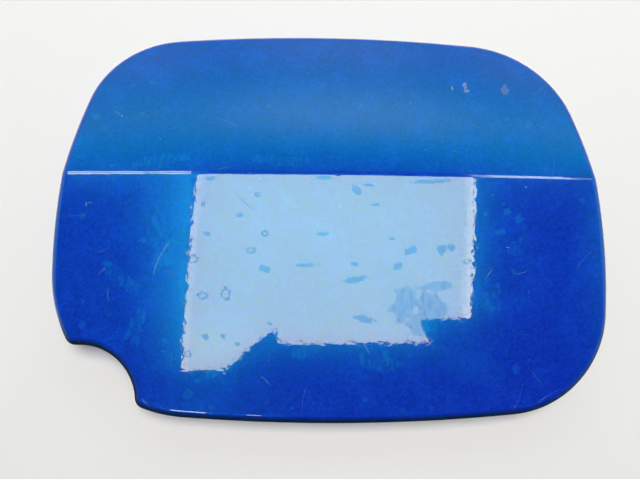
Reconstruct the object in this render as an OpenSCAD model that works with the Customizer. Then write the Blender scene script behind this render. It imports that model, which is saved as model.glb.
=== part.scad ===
// Fuel filler door of a car with its hinge, closed, painted side up.
// X runs along the side of the car, Y up it and Z out of it.
// The origin is below the middle of the door, on the plane that the hinge bracket is screwed to.

/* [Door outline] */
// Width of the door
door_w = 190; // [176:1:210]
// Height of the door
door_h = 140; // [134:1:156]
// Radius of the bulge in the left and right edges
side_bulge_r = 235; // [200:5:300]
// Height at which the left and right edges bulge most, from the middle of the door
side_peak_y = -16; // [-20:1:-6]
// Radius of the bulge in the top and bottom edges
long_bulge_r = 700; // [500:10:1200]
// Place along the top edge where it bulges most, from the middle of the door
top_peak_x = 5; // [-10:1:15]
// Place along the bottom edge where it bulges most, from the middle of the door
bottom_peak_x = 9; // [-5:1:15]
// Radius of the upper left corner
upper_left_r = 34; // [25:1:45]
// Radius of the upper right corner
upper_right_r = 39; // [28:1:46]
// Radius of the lower right corner
lower_right_r = 37; // [28:1:46]
// Radius of the lower left corner, out of which the finger notch is cut
lower_left_r = 48; // [40:1:54]

/* [Finger notch] */
// Radius of the notch in the lower left corner
notch_r = 18.5; // [15:0.5:21]
// Distance of the notch's centre in from the left edge
notch_in = 10; // [8:0.5:12]
// Distance of the notch's centre up from the bottom edge
notch_up = 7.5; // [6:0.5:10]
// Radius of the tip between the left edge and the notch
upper_tip_r = 3.5; // [3.4:0.1:5]
// Radius of the tip between the notch and the bottom edge
lower_tip_r = 3.8; // [3.4:0.1:5]

/* [Face] */
// Height of the crease above the middle of the door
crease_y = 12.5; // [6:0.5:18]
// Depth from the crease down to the top and bottom edges of the face
edge_fall = 9; // [7:0.5:10]
// Radius of the face along the door
crown_r = 1700; // [1300:50:4000]
// Radius of the face below the crease
lower_face_r = 1000; // [800:50:3000]
// Radius of the face above the crease
upper_face_r = 700; // [600:50:3000]

/* [Skin] */
// Thickness of the skin
skin_t = 0.8; // [0.6:0.05:1]
// Outer radius of the rolled rim
rim_r = 3; // [2.4:0.1:3.2]
// Height of the rim, from the edge of the face to the underside of the hem
rim_depth = 5; // [4.6:0.1:6]
// Outer radius of the fold at the foot of the rim
fold_r = 1.2; // [1.1:0.05:1.4]
// Width of the hem, from the outside of the rim to its free edge
hem_w = 7; // [5:0.5:8]

/* [Inner panel] */
// Thickness of the inner panel
panel_t = 0.8; // [0.6:0.05:1]
// Gap that the mastic fills between the inner panel and the skin's inside
mastic_gap = 0.1; // [0.05:0.05:0.3]
// Gap between the inner panel's shoulder and the skin above it
shoulder_gap = 1.5; // [1:0.1:2]
// Distance from the edge of the face to the panel's flange
flange_in = 5.5; // [4.5:0.5:7]
// Distance from the edge of the face to the panel's shoulder
shoulder_in = 14; // [12:0.5:16]
// Width of the flat pad
pad_w = 132; // [128:1:136]
// Height of the flat pad, up and down the door
pad_h = 88; // [84:1:92]
// Gap between the pad and the skin where they come closest
pad_gap = 1.4; // [1.2:0.1:3]
// Distance from the edge of the pad to the stiffening bead
bead_in = 2; // [1:0.5:2.5]
// Width of the stiffening bead
bead_w = 6; // [4:0.5:6.5]
// Height of the stiffening bead
bead_h = 1; // [0.5:0.1:1.1]
// Radius of the round windows in the pad
window_r = 7.5; // [5:0.5:8]
// Distance of the windows left of the middle
window_x = 4; // [2:0.5:5]
// Distance of the windows above and below the middle
window_y = 21; // [20:0.5:22]

/* [Hinge] */
// Distance of the hinge pin in from the right edge
pin_in = 13; // [12:0.5:15]
// Height of the hinge pin above the foot of the bracket
pin_z = 7.6; // [7.6:0.1:9]
// Diameter of the hinge pin
pin_d = 4; // [3.6:0.1:4.4]
// Clearance between the pin and its bushes
pin_play = 0.05; // [0.02:0.01:0.08]
// Wall of the bushes
bush_wall = 0.75; // [0.6:0.05:0.9]
// Length of each bush inside the curl
bush_len = 8; // [5:0.5:12]
// Thickness of the bush flanges
bush_flange_t = 1; // [0.8:0.1:1.5]
// Thickness of the hinge arm
arm_t = 1.8; // [1.5:0.1:2]
// Length of the arm from the pin to its free end
arm_len = 66; // [60:1:68]
// Width of the arm where it is riveted to the inner panel
arm_w = 34; // [32:1:35]
// Length of the curl, which is the arm's width at the pin
curl_len = 30; // [26:1:34]
// Depth of the two flats on the curl
flat_depth = 0.8; // [0.5:0.1:0.9]
// Radius of the hole in the arm
arm_hole_r = 5; // [3:0.5:6]
// Distance between the rivets along the arm
arm_rivet_pitch_x = 20; // [16:1:22]
// Distance from the arm's free end to its first rivets
arm_rivet_in = 8; // [6:0.5:10]
// Distance from the long edges of the arm to its rivets
arm_rivet_edge = 7; // [6:0.5:8]
// Width of the slit between the end of the curl and the strap
curl_slit = 0.5; // [0.3:0.1:0.8]
// Corner radius of the arm's free end
arm_corner_r = 4; // [2:0.5:6]

/* [Bracket] */
// Thickness of the bracket
bracket_t = 2; // [1.6:0.1:2.2]
// Distance from the pin to the far edge of the bracket's foot
foot_reach = 38; // [34:1:42]
// Length of the wide part of the foot
foot_len = 18; // [16:1:20]
// Width of the foot
foot_w = 62; // [58:1:70]
// Corner radius of the foot
foot_corner_r = 4; // [2:0.5:6]
// Distance between the two screw holes
screw_pitch = 44; // [40:1:48]
// Diameter of the screw holes
screw_hole_d = 5.5; // [4.5:0.1:6.5]
// Distance from the pin to the near edge of the foot
foot_gap = 2; // [1.5:0.5:4]
// Radius of the ears round the pin
ear_r = 4.4; // [4:0.1:4.6]
// Play of the bush flanges between the ears, at each end
ear_play = 0.1; // [0.05:0.05:0.3]
// Height of the pin's head
pin_head_h = 1.5; // [1:0.1:2]
// Diameter of the pin's head
pin_head_d = 7; // [6:0.1:8]
// Length of the pin beyond the lower ear
pin_tail = 3; // [2.5:0.1:4]
// Thickness of the pin clip
clip_t = 0.8; // [0.6:0.1:1]
// Outer diameter of the pin clip
clip_d = 8; // [7.2:0.1:9]
// Radius of the two eyes by which the clip is pulled off
clip_eye_r = 0.7; // [0.4:0.1:0.8]

/* [Leaf spring] */
// Thickness of the leaf spring
leaf_t = 0.5; // [0.4:0.05:0.6]
// Width of the leaf spring
leaf_w = 12; // [8:0.5:16]
// Length of the leaf's free end beyond the pin
leaf_over = 4; // [3:0.5:4.5]
// Distance from the pin to the leaf's riveted end
leaf_reach = 35; // [33:0.5:36]
// Distance between the leaf's rivets
leaf_rivet_pitch = 9; // [7:0.5:10]
// Distance from the pin to the end of the leaf's rise
leaf_rise_in = 8; // [7:0.5:9]

/* [Rivets and buffers] */
// Diameter of the rivets' shanks
rivet_d = 4; // [3:0.1:4.5]
// Diameter of the rivets' heads
rivet_head_d = 6.8; // [6:0.1:7.5]
// Height of the rivets' heads
rivet_head_h = 1.2; // [0.8:0.1:1.5]
// Diameter of the rubber buffers
buffer_d = 10; // [8:0.5:11]
// Height of the buffers below the pad
buffer_h = 7; // [5:0.5:9]
// Diameter of the buffers' stems
buffer_stem_d = 5; // [4:0.5:6]
// Distance of the buffers from the middle of the door, along it
buffer_x = 47; // [46:0.5:48]
// Gap between the buffers near the hinge and the edge of the arm
buffer_gap = 1; // [0.5:0.1:2]

/* [Cap holder] */
// Distance of the cap holder left of the middle
holder_x = 32; // [30:1:34]
// Inner radius of the cradle
cradle_r = 11; // [8:0.5:12]
// Length of the cradle's straight sides
cradle_len = 13; // [8:0.5:15]
// Length of the base beyond the open end of the cradle
holder_tab = 6; // [2:0.5:8]
// Wall of the cradle
cradle_wall = 2; // [1.5:0.1:2.5]
// Thickness of the holder's base
holder_base_t = 2; // [1.5:0.1:2.5]
// Thickness of the lip that keeps the cap in the cradle
lip_t = 1.6; // [1.2:0.1:2.5]
// Reach of the lip into the cradle
lip_in = 2.5; // [1:0.5:3.5]
// Thickness of the ribs on the cradle's sides
rib_t = 1.6; // [1:0.1:2.5]
// Reach of the ribs out of the cradle's sides
rib_out = 3.5; // [2:0.5:5]
// Distance between the holder's rivets
holder_rivet_pitch = 12; // [10:0.5:13]

/* [Hidden] */
$fn = 64;

// Clearance of a shank in its hole, and of a piece pressed into its seat
hole_play = 0.05;
seat_play = 0.01;
// Length by which a cutting body runs past the face it cuts
past = 1;

// Stack of heights from the foot of the bracket to the crest of the skin
bush_r = pin_d / 2 + pin_play + bush_wall;
curl_r = bush_r + seat_play + arm_t;
pad_under = pin_z + curl_r;
pad_z = pad_under + panel_t;

pin_x = door_w / 2 - pin_in;
arm_end = pin_x - arm_len;
ear_inside = curl_len / 2 + bush_flange_t + ear_play;
ear_outside = ear_inside + bracket_t;

// Centres of the four big arcs that bound the door, and of the notch
left_arc = [side_bulge_r - door_w / 2, side_peak_y];
right_arc = [door_w / 2 - side_bulge_r, side_peak_y];
top_arc = [top_peak_x, door_h / 2 - long_bulge_r];
bottom_arc = [bottom_peak_x, long_bulge_r - door_h / 2];
notch = [notch_in - door_w / 2, notch_up - door_h / 2];

// Point that lies at distance ra from a and rb from b, whichever is closer to the hint
function meeting(a, ra, b, rb, hint) =
    let (along = (b - a) / norm(b - a),
         s = (ra * ra - rb * rb + norm(b - a) * norm(b - a)) / (2 * norm(b - a)),
         across = sqrt(ra * ra - s * s) * [-along[1], along[0]],
         p = a + s * along + across,
         q = a + s * along - across)
    norm(p - hint) < norm(q - hint) ? p : q;

// Centre of a corner arc of radius r, tangent to a side arc and to the top or bottom arc
function corner(side, long, r, hint) = meeting(side, side_bulge_r - r, long, long_bulge_r - r, hint);

// Centres of the corner arcs, and of the two tips between the lower left corner and the notch
upper_left = corner(left_arc, top_arc, upper_left_r, [-60, 40]);
upper_right = corner(right_arc, top_arc, upper_right_r, [60, 40]);
lower_right = corner(right_arc, bottom_arc, lower_right_r, [60, -40]);
lower_left = corner(left_arc, bottom_arc, lower_left_r, [-50, -30]);
upper_tip = meeting(lower_left, lower_left_r - upper_tip_r, notch, notch_r + upper_tip_r, [-90, -40]);
lower_tip = meeting(lower_left, lower_left_r - lower_tip_r, notch, notch_r + lower_tip_r, [-60, -65]);

// Direction from a to b, and the shorter turn from one direction to another
function bearing(a, b) = atan2(b[1] - a[1], b[0] - a[0]);
function turn(from, to) = (to - from + 540) % 360 - 180;

// Stretch of outline along an arc, as pairs of a point and its outward normal.
// Side is -1 where the arc is hollow. The end point is left to the next stretch.
function stretch(c, r, from, to, steps, side = 1) =
    [for (i = [0 : steps - 1])
        let (a = from + turn(from, to) * i / steps, d = [cos(a), sin(a)])
        [c + r * d, side * d]];

// Directions in which the crease reaches the edge of the face
right_crease = asin((crease_y - side_peak_y) / (side_bulge_r - rim_r));
left_crease = 180 - right_crease;

// Directions in which the big arcs pass into the corner arcs, and those into the tips and the notch
right_up = bearing(right_arc, upper_right);
up_right = bearing(top_arc, upper_right);
up_left = bearing(top_arc, upper_left);
left_up = bearing(left_arc, upper_left);
left_down = bearing(left_arc, lower_left);
down_left = bearing(bottom_arc, lower_left);
down_right = bearing(bottom_arc, lower_right);
right_down = bearing(right_arc, lower_right);
to_upper_tip = bearing(lower_left, upper_tip);
to_lower_tip = bearing(lower_left, lower_tip);
notch_to_upper = bearing(notch, upper_tip);
notch_to_lower = bearing(notch, lower_tip);

// The whole outline, anticlockwise from the right-hand end of the crease
outline = concat(
    stretch(right_arc, side_bulge_r, right_crease, right_up, 5),
    stretch(upper_right, upper_right_r, right_up, up_right, 8),
    stretch(top_arc, long_bulge_r, up_right, up_left, 12),
    stretch(upper_left, upper_left_r, up_left, left_up, 8),
    stretch(left_arc, side_bulge_r, left_up, left_crease, 4),
    stretch(left_arc, side_bulge_r, left_crease, left_down, 6),
    stretch(lower_left, lower_left_r, left_down, to_upper_tip, 3),
    stretch(upper_tip, upper_tip_r, to_upper_tip, notch_to_upper + 180, 4),
    stretch(notch, notch_r, notch_to_upper, notch_to_lower, 9, -1),
    stretch(lower_tip, lower_tip_r, notch_to_lower + 180, to_lower_tip, 4),
    stretch(lower_left, lower_left_r, to_lower_tip, down_left, 3),
    stretch(bottom_arc, long_bulge_r, down_left, down_right, 10),
    stretch(lower_right, lower_right_r, down_right, right_down, 8),
    stretch(right_arc, side_bulge_r, right_down, right_crease, 6));

// Fall of the face below the crest, away from the crease: an arc over a sloping chord
function fall(away, chord, r) = edge_fall * away / chord - away * (chord - away) / (2 * r);

// Fall of the painted face over a point of the plan, along the door and up or down it
function face_fall(p) =
    p[0] * p[0] / (2 * crown_r) +
    (p[1] < crease_y
        ? fall(crease_y - p[1], crease_y + door_h / 2, lower_face_r)
        : fall(p[1] - crease_y, door_h / 2 - crease_y, upper_face_r));

// Middle of the crease, from which the mesh of the face spreads
hub = [0, crease_y];

// The outline moved inwards square to itself, and the edge of the face where the rim starts
function inset(d) = [for (o = outline) o[0] - d * o[1]];
face_edge = inset(rim_r);

// Points a distance in from the edge of the face, towards the hub
function toward_hub(d) = [for (p = face_edge) p + (hub - p) * d / norm(hub - p)];

// Reach of the flat pad from the middle of the door in a direction: a superellipse
function pad_reach(u) =
    pow(pow(abs(u[0]) / (pad_w / 2), 4) + pow(abs(u[1]) / (pad_h / 2), 4), -1 / 4);

// Points a distance in from the edge of the pad, towards the middle of the door
function on_pad(d) = [for (p = face_edge) let (u = p / norm(p)) (pad_reach(u) - d) * u];

// The crest of the skin lies as high as the pad's edge needs
crest_z = pad_z + pad_gap + skin_t + max([for (p = on_pad(0)) face_fall(p)]);
function face_z(p) = crest_z - face_fall(p);
edge_z = [for (p = face_edge) face_z(p)];

// Rings of points in space: on the face, a given part of the way out from the hub;
// and at a constant depth below the edge of the face
function face_ring(part, below) =
    [for (p = face_edge) let (q = hub + part * (p - hub)) [q[0], q[1], face_z(q) - below]];
function rim_ring(points, below) =
    [for (j = [0 : len(points) - 1]) [points[j][0], points[j][1], edge_z[j] - below]];
function level_ring(points, z) = [for (p = points) [p[0], p[1], z]];

// Closed solid from a start point, through rings that run outwards, round the edge and back,
// to an end point
module lofted(start, rings, finish) {
    n = len(rings[0]);
    last = n * len(rings) + 1;
    polyhedron(
        points = concat([start], [for (ring = rings) each ring], [finish]),
        faces = concat(
            [for (j = [0 : n - 1]) [0, 1 + (j + 1) % n, 1 + j]],
            [for (k = [0 : len(rings) - 2], j = [0 : n - 1])
                each let (a = 1 + k * n + j, b = 1 + k * n + (j + 1) % n)
                    [[a, b, b + n], [a, b + n, a + n]]],
            [for (j = [0 : n - 1]) [last, last - n + j, last - n + (j + 1) % n]]));
}

// Flat bars and profiles: a plan outline raised along Z, and a side outline in X and Z spread along Y
module upright(z0, z1) {
    translate([0, 0, z0]) linear_extrude(z1 - z0) children();
}
module across(y0, y1) {
    translate([0, y1, 0]) rotate([90, 0, 0]) linear_extrude(y1 - y0) children();
}

module rounded_bar(x0, x1, w, r) {
    difference() {
        translate([x0, -w / 2]) square([x1 - x0, w]);
        for (x = [x0, x1], y = [-w / 2, w / 2])
            translate([x, y]) square(2 * r, center = true);
    }
    for (x = [x0 + r, x1 - r], y = [-w / 2 + r, w / 2 - r])
        translate([x, y]) circle(r);
}

// Skin: face, rolled rim, foot of the rim, hem, and the inside of each
face_parts = [0.18, 0.4, 0.62, 0.82];
roll_steps = [0 : 22.5 : 90];
fold_steps = [0 : 30 : 90];
module outer_skin() {
    skirt_r = rim_r - skin_t;
    pleat_r = fold_r - skin_t;
    color([0.05, 0.22, 0.66])
    lofted(
        [hub[0], hub[1], face_z(hub)],
        concat(
            [for (part = face_parts) face_ring(part, 0)],
            [for (a = roll_steps) rim_ring(inset(rim_r * (1 - sin(a))), rim_r * (1 - cos(a)))],
            [for (a = fold_steps)
                rim_ring(inset(fold_r * (1 - cos(a))), rim_depth - fold_r * (1 - sin(a)))],
            [rim_ring(toward_hub(hem_w - rim_r), rim_depth)],
            [rim_ring(toward_hub(hem_w - rim_r), rim_depth - skin_t)],
            [for (a = [90 : -45 : 0])
                rim_ring(inset(skin_t + pleat_r * (1 - cos(a))), rim_depth - fold_r + pleat_r * sin(a))],
            [for (a = [90 : -30 : 0])
                rim_ring(inset(skin_t + skirt_r * (1 - sin(a))), skin_t + skirt_r * (1 - cos(a)))],
            [for (k = [len(face_parts) - 1 : -1 : 0]) face_ring(face_parts[k], skin_t)]),
        [hub[0], hub[1], face_z(hub) - skin_t]);
}

// Inner panel: flat pad, stiffening bead, shoulder that follows the skin, and flange that lies on the hem
flange_depth = rim_depth - skin_t - mastic_gap - panel_t;
// Section of the bead, from its inner foot outwards, in parts of its width and height
bead_section = [[1, 0], [0.8, 0.75], [0.65, 1], [0.35, 1], [0.2, 0.75], [0, 0]];
module inner_panel_blank() {
    upper = concat(
        [for (c = bead_section) level_ring(on_pad(bead_in + bead_w * c[0]), pad_z + bead_h * c[1])],
        [level_ring(on_pad(0), pad_z)],
        [[for (p = toward_hub(shoulder_in)) [p[0], p[1], face_z(p) - skin_t - shoulder_gap]]],
        [rim_ring(toward_hub(flange_in), flange_depth)],
        [rim_ring(inset(skin_t + 3 * mastic_gap), flange_depth)]);
    lower = [for (k = [len(upper) - 1 : -1 : 0]) [for (p = upper[k]) p - [0, 0, panel_t]]];
    lofted([0, 0, pad_z], concat(upper, lower), [0, 0, pad_under]);
}

arm_rivet_places = [for (i = [0, 1], s = [1, -1])
    [arm_end + arm_rivet_in + i * arm_rivet_pitch_x, s * (arm_w / 2 - arm_rivet_edge)]];
buffer_y = arm_w / 2 + buffer_gap + buffer_d / 2;
buffer_places = [for (sx = [-1, 1], sy = [1, -1]) [sx * buffer_x, sy * buffer_y]];
holder_rivet_places = [for (s = [-1, 1]) [s * holder_rivet_pitch / 2 - holder_x, 0]];
// The head of the leaf's first rivet keeps this distance from the end of the leaf
leaf_edge = 1;
spring_rivet_places = [for (i = [0, 1])
    [pin_x - leaf_reach + leaf_edge + rivet_head_d / 2 + i * leaf_rivet_pitch, 0]];

module holes(places, r, z0, z1) {
    for (p = places)
        translate([p[0], p[1], z0]) cylinder(h = z1 - z0, r = r);
}

module inner_panel() {
    color([0.08, 0.12, 0.3])
    difference() {
        inner_panel_blank();
        holes(arm_rivet_places, rivet_d / 2 + hole_play, pad_under - past, pad_z + past);
        holes(holder_rivet_places, rivet_d / 2 + hole_play, pad_under - past, pad_z + past);
        holes(buffer_places, buffer_stem_d / 2 + hole_play, pad_under - past, pad_z + past);
        holes([for (s = [-1, 1]) [-window_x, s * window_y]], window_r, pad_under - past, pad_z + past);
    }
}

// Rivet with a domed head below z0 and an upset head above z1, part as wide and as high as the first
upset_w = 0.8;
upset_h = 0.6;
module rivet(place, z0, z1) {
    r = rivet_head_d / 2;
    dome_r = (r * r + rivet_head_h * rivet_head_h) / (2 * rivet_head_h);
    translate([place[0], place[1], 0])
    rotate_extrude() {
        intersection() {
            translate([0, z0 - rivet_head_h + dome_r]) circle(dome_r);
            translate([0, z0 - rivet_head_h]) square([r, rivet_head_h]);
        }
        translate([0, z0 - seat_play]) square([rivet_d / 2, z1 - z0 + 2 * seat_play]);
        translate([0, z1]) square([upset_w * r, upset_h * rivet_head_h]);
    }
}

module arm_rivet(i) {
    color([0.7, 0.7, 0.72]) rivet(arm_rivet_places[i - 1], pad_under - arm_t, pad_z);
}

// Hinge arm: strap under the pad, curled round the bushes, with a flat facing down and a flat facing right
module hinge_arm() {
    color([0.62, 0.62, 0.6])
    difference() {
        intersection() {
            across(-arm_w / 2, arm_w / 2) arm_profile();
            upright(0, crest_z) arm_plan();
        }
        across(-arm_w, arm_w) translate([pin_x, pin_z]) circle(bush_r + seat_play);
        holes(arm_rivet_places, rivet_d / 2 + hole_play, 0, crest_z);
        holes([[arm_rivet_places[2][0] + arm_rivet_pitch_x, 0]], arm_hole_r, pin_z, crest_z);
    }
}

// Side outline of the strap and its curl, cut by the flats and the slit, which lies in this direction
slit_turn = 150;
module arm_profile() {
    difference() {
        union() {
            translate([pin_x, pin_z]) circle(curl_r);
            translate([arm_end, pad_under - arm_t]) square([arm_len, arm_t]);
        }
        translate([pin_x - curl_r, pin_z + flat_depth - 2 * curl_r]) square([2 * curl_r, curl_r]);
        translate([pin_x + curl_r - flat_depth, pin_z - curl_r]) square([curl_r, 1.5 * curl_r]);
        translate([pin_x, pin_z]) rotate(slit_turn) translate([bush_r, -curl_slit / 2])
            square([curl_r, curl_slit]);
    }
}

// Plan of the arm: full width at the rivets, tapering to the width of the curl
module arm_plan() {
    taper_from = arm_end + arm_rivet_in + arm_rivet_pitch_x + rivet_head_d;
    taper_to = pin_x - 2 * curl_r;
    square_to = taper_from - arm_corner_r - past;
    rounded_bar(arm_end, taper_from, arm_w, arm_corner_r);
    polygon([
        [square_to, -arm_w / 2], [taper_from, -arm_w / 2],
        [taper_to, -curl_len / 2], [pin_x + 2 * curl_r, -curl_len / 2],
        [pin_x + 2 * curl_r, curl_len / 2], [taper_to, curl_len / 2],
        [taper_from, arm_w / 2], [square_to, arm_w / 2]]);
}

// Bush pressed into one end of the curl, its flange against the ear. Side is 1 above and -1 below.
flange_r = bush_r + 0.6 * arm_t;
module bush(side) {
    color([0.85, 0.85, 0.8])
    translate([pin_x, 0, pin_z]) rotate([side * -90, 0, 0])
    difference() {
        union() {
            translate([0, 0, curl_len / 2 - bush_len]) cylinder(h = bush_len + bush_flange_t, r = bush_r);
            translate([0, 0, curl_len / 2 + seat_play])
                cylinder(h = bush_flange_t - seat_play, r = flange_r);
        }
        translate([0, 0, curl_len / 2 - bush_len - past])
            cylinder(h = bush_len + bush_flange_t + 2 * past, r = pin_d / 2 + pin_play);
    }
}

// Point where a straight edge from p touches a circle, on the given side
function touch(p, c, r, side) =
    let (d = norm(c - p), a = bearing(c, p) + side * acos(r / d)) c + r * [cos(a), sin(a)];

// Bracket: wide foot with the screw holes, and a channel whose walls are the ears.
// The channel starts this far inside the wide part, and its walls start to rise as far outside it.
channel_lap = 2;
module hinge_bracket() {
    foot_end = pin_x - foot_gap;
    neck = pin_x - foot_reach + foot_len;
    heel = [neck + channel_lap, bracket_t];
    pin_at = [pin_x, pin_z];
    toe = [foot_end, bracket_t];
    color([0.6, 0.6, 0.58])
    difference() {
        union() {
            upright(0, bracket_t) rounded_bar(pin_x - foot_reach, neck, foot_w, foot_corner_r);
            intersection() {
                translate([neck - channel_lap, 0, 0]) rotate([90, 0, 90])
                    linear_extrude(pin_x - neck + channel_lap + 2 * ear_r) channel_profile();
                across(-ear_outside, ear_outside) {
                    translate([neck - channel_lap, 0])
                        square([foot_end - neck + channel_lap, bracket_t]);
                    polygon([
                        heel, touch(heel, pin_at, ear_r, -1), pin_at, touch(toe, pin_at, ear_r, 1), toe]);
                    translate(pin_at) circle(ear_r);
                }
            }
        }
        across(-foot_w, foot_w) translate(pin_at) circle(pin_d / 2 + seat_play);
        holes([for (s = [-1, 1]) [pin_x - foot_reach + foot_len / 2, s * screw_pitch / 2]],
            screw_hole_d / 2, -past, bracket_t + past);
        holes(spring_rivet_places, rivet_d / 2 + hole_play, -past, bracket_t + past);
        for (p = spring_rivet_places)
            translate([p[0], p[1], 0]) countersink(-seat_play, hole_play);
    }
}

// Cone in the underside of the foot for a flush rivet, from z0 up and with the given clearance
sink_h = 1;
module countersink(z0, play) {
    translate([0, 0, z0])
        cylinder(h = sink_h - z0, r1 = rivet_d / 2 + sink_h - z0 + play, r2 = rivet_d / 2 + play);
}

// Section of the channel in Y and Z, with its two bends rounded
module channel_profile() {
    h = pin_z + ear_r;
    bend = bracket_t;
    difference() {
        union() {
            translate([-ear_outside, bend]) square([2 * ear_outside, h]);
            translate([-ear_outside + bend, 0]) square([2 * (ear_outside - bend), bend + past]);
            for (s = [-1, 1])
                translate([s * (ear_outside - bend), bend]) circle(bend);
        }
        translate([-ear_inside, bracket_t]) square([2 * ear_inside, h]);
    }
}

module hinge_pin() {
    color([0.75, 0.75, 0.77])
    translate([pin_x, 0, pin_z]) rotate([-90, 0, 0])
    difference() {
        union() {
            translate([0, 0, -ear_outside - pin_tail])
                cylinder(h = 2 * ear_outside + pin_tail + pin_head_h, r = pin_d / 2);
            translate([0, 0, ear_outside]) cylinder(h = pin_head_h, r = pin_head_d / 2);
        }
        translate([0, 0, -ear_outside - clip_t - 2 * hole_play]) clip_groove();
    }
}

// Groove in the pin for its clip
groove_r = 0.35 * pin_d;
module clip_groove() {
    difference() {
        cylinder(h = clip_t + 2 * hole_play, r = pin_d);
        translate([0, 0, -past]) cylinder(h = clip_t + 3 * past, r = groove_r);
    }
}

// Open clip in the pin's groove, slid on from the right
module pin_clip() {
    bore_r = groove_r + hole_play;
    mouth = 1.6 * bore_r;
    color([0.35, 0.35, 0.37])
    across(-ear_outside - clip_t - hole_play, -ear_outside - hole_play)
        translate([pin_x, pin_z])
        difference() {
            circle(clip_d / 2);
            circle(bore_r);
            translate([0, -mouth / 2]) square([clip_d, mouth]);
            for (a = [100, 260])
                rotate(a) translate([(bore_r + clip_d / 2) / 2, 0]) circle(clip_eye_r);
        }
}

// Leaf spring: flat on the foot, then rising to lie against the lower flat of the curl
module leaf_spring() {
    leaf_z = pin_z - curl_r + flat_depth - 2 * seat_play - leaf_t;
    rise_from = spring_rivet_places[1][0] + rivet_head_d / 2 + leaf_t;
    rise_to = pin_x - leaf_rise_in;
    start = pin_x - leaf_reach;
    color([0.3, 0.34, 0.42])
    difference() {
        across(-leaf_w / 2, leaf_w / 2)
            polygon([
                [start, bracket_t], [rise_from, bracket_t], [rise_to, leaf_z], [pin_x + leaf_over, leaf_z],
                [pin_x + leaf_over, leaf_z + leaf_t], [rise_to, leaf_z + leaf_t],
                [rise_from, bracket_t + leaf_t], [start, bracket_t + leaf_t]]);
        holes(spring_rivet_places, rivet_d / 2 + hole_play, 0, bracket_t + leaf_t + past);
    }
}

// Flush rivet through the foot and the leaf, with its head on the leaf
module spring_rivet(i) {
    p = spring_rivet_places[i - 1];
    color([0.7, 0.7, 0.72])
    translate([p[0], p[1], 0]) {
        countersink(hole_play, 0);
        translate([0, 0, hole_play]) cylinder(h = bracket_t + leaf_t, r = rivet_d / 2);
        translate([0, 0, bracket_t + leaf_t])
            cylinder(h = upset_h * rivet_head_h, r1 = rivet_head_d / 2, r2 = upset_w * rivet_head_d / 2);
    }
}

// Rubber buffer: foot below the pad, stem in its hole and a bulb above, which is this much wider
bulb_r = 0.6;
module buffer(i) {
    p = buffer_places[i - 1];
    stem_r = buffer_stem_d / 2;
    seat = panel_t + hole_play;
    color([0.06, 0.06, 0.06])
    translate([p[0], p[1], pad_under])
    rotate_extrude()
        polygon([
            [0, -buffer_h], [0.3 * buffer_d, -buffer_h], [0.38 * buffer_d, bulb_r - buffer_h],
            [buffer_d / 2, -2 * bulb_r], [buffer_d / 2, 0], [stem_r, 0], [stem_r, seat],
            [stem_r + bulb_r, seat], [stem_r, seat + bulb_r], [stem_r / 2, seat + 1.8 * bulb_r],
            [0, seat + 1.8 * bulb_r]]);
}

// Cap holder: base riveted to the pad, and a cradle open at the top, with a lip round its free edge
module cap_holder() {
    base_z = pad_under - holder_base_t;
    outer_r = cradle_r + cradle_wall;
    color([0.05, 0.05, 0.05])
    difference() {
        translate([-holder_x, 0, 0]) {
            upright(base_z, pad_under) cradle_plan(outer_r, holder_tab);
            upright(0, pad_under)
                difference() {
                    cradle_plan(outer_r, 0);
                    cradle_plan(cradle_r, 1);
                }
            upright(0, lip_t)
                difference() {
                    cradle_plan(outer_r, 0);
                    cradle_plan(cradle_r - lip_in, 1);
                }
            // Ribs that stiffen the sides of the cradle
            for (s = [-1, 1], y = [-0.3 * cradle_len, 0.6 * cradle_len])
                translate([s * outer_r, y, lip_t + pad_under / 2])
                    cube([2 * rib_out, rib_t, pad_under - 2 * lip_t], center = true);
        }
        holes(holder_rivet_places, rivet_d / 2 + hole_play, -past, pad_under + past);
    }
}

// Plan of the cradle: half a disc at the bottom and straight sides up to the open end
module cradle_plan(r, extra) {
    translate([0, -cradle_len / 2]) circle(r);
    translate([-r, -cradle_len / 2]) square([2 * r, cradle_len + extra]);
}

module holder_rivet(i) {
    color([0.1, 0.1, 0.1]) rivet(holder_rivet_places[i - 1], pad_under - holder_base_t, pad_z);
}

outer_skin();
inner_panel();
hinge_arm();
for (i = [1 : 4]) arm_rivet(i);
bush(1);  // bush_upper
bush(-1);  // bush_lower
hinge_bracket();
hinge_pin();
pin_clip();
leaf_spring();
for (i = [1 : 2]) spring_rivet(i);
for (i = [1 : 4]) buffer(i);
cap_holder();
for (i = [1 : 2]) holder_rivet(i);
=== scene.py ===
"""Looks of a blue painted car fuel door lying on a pale table, seen as in the photograph."""

import math

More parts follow.
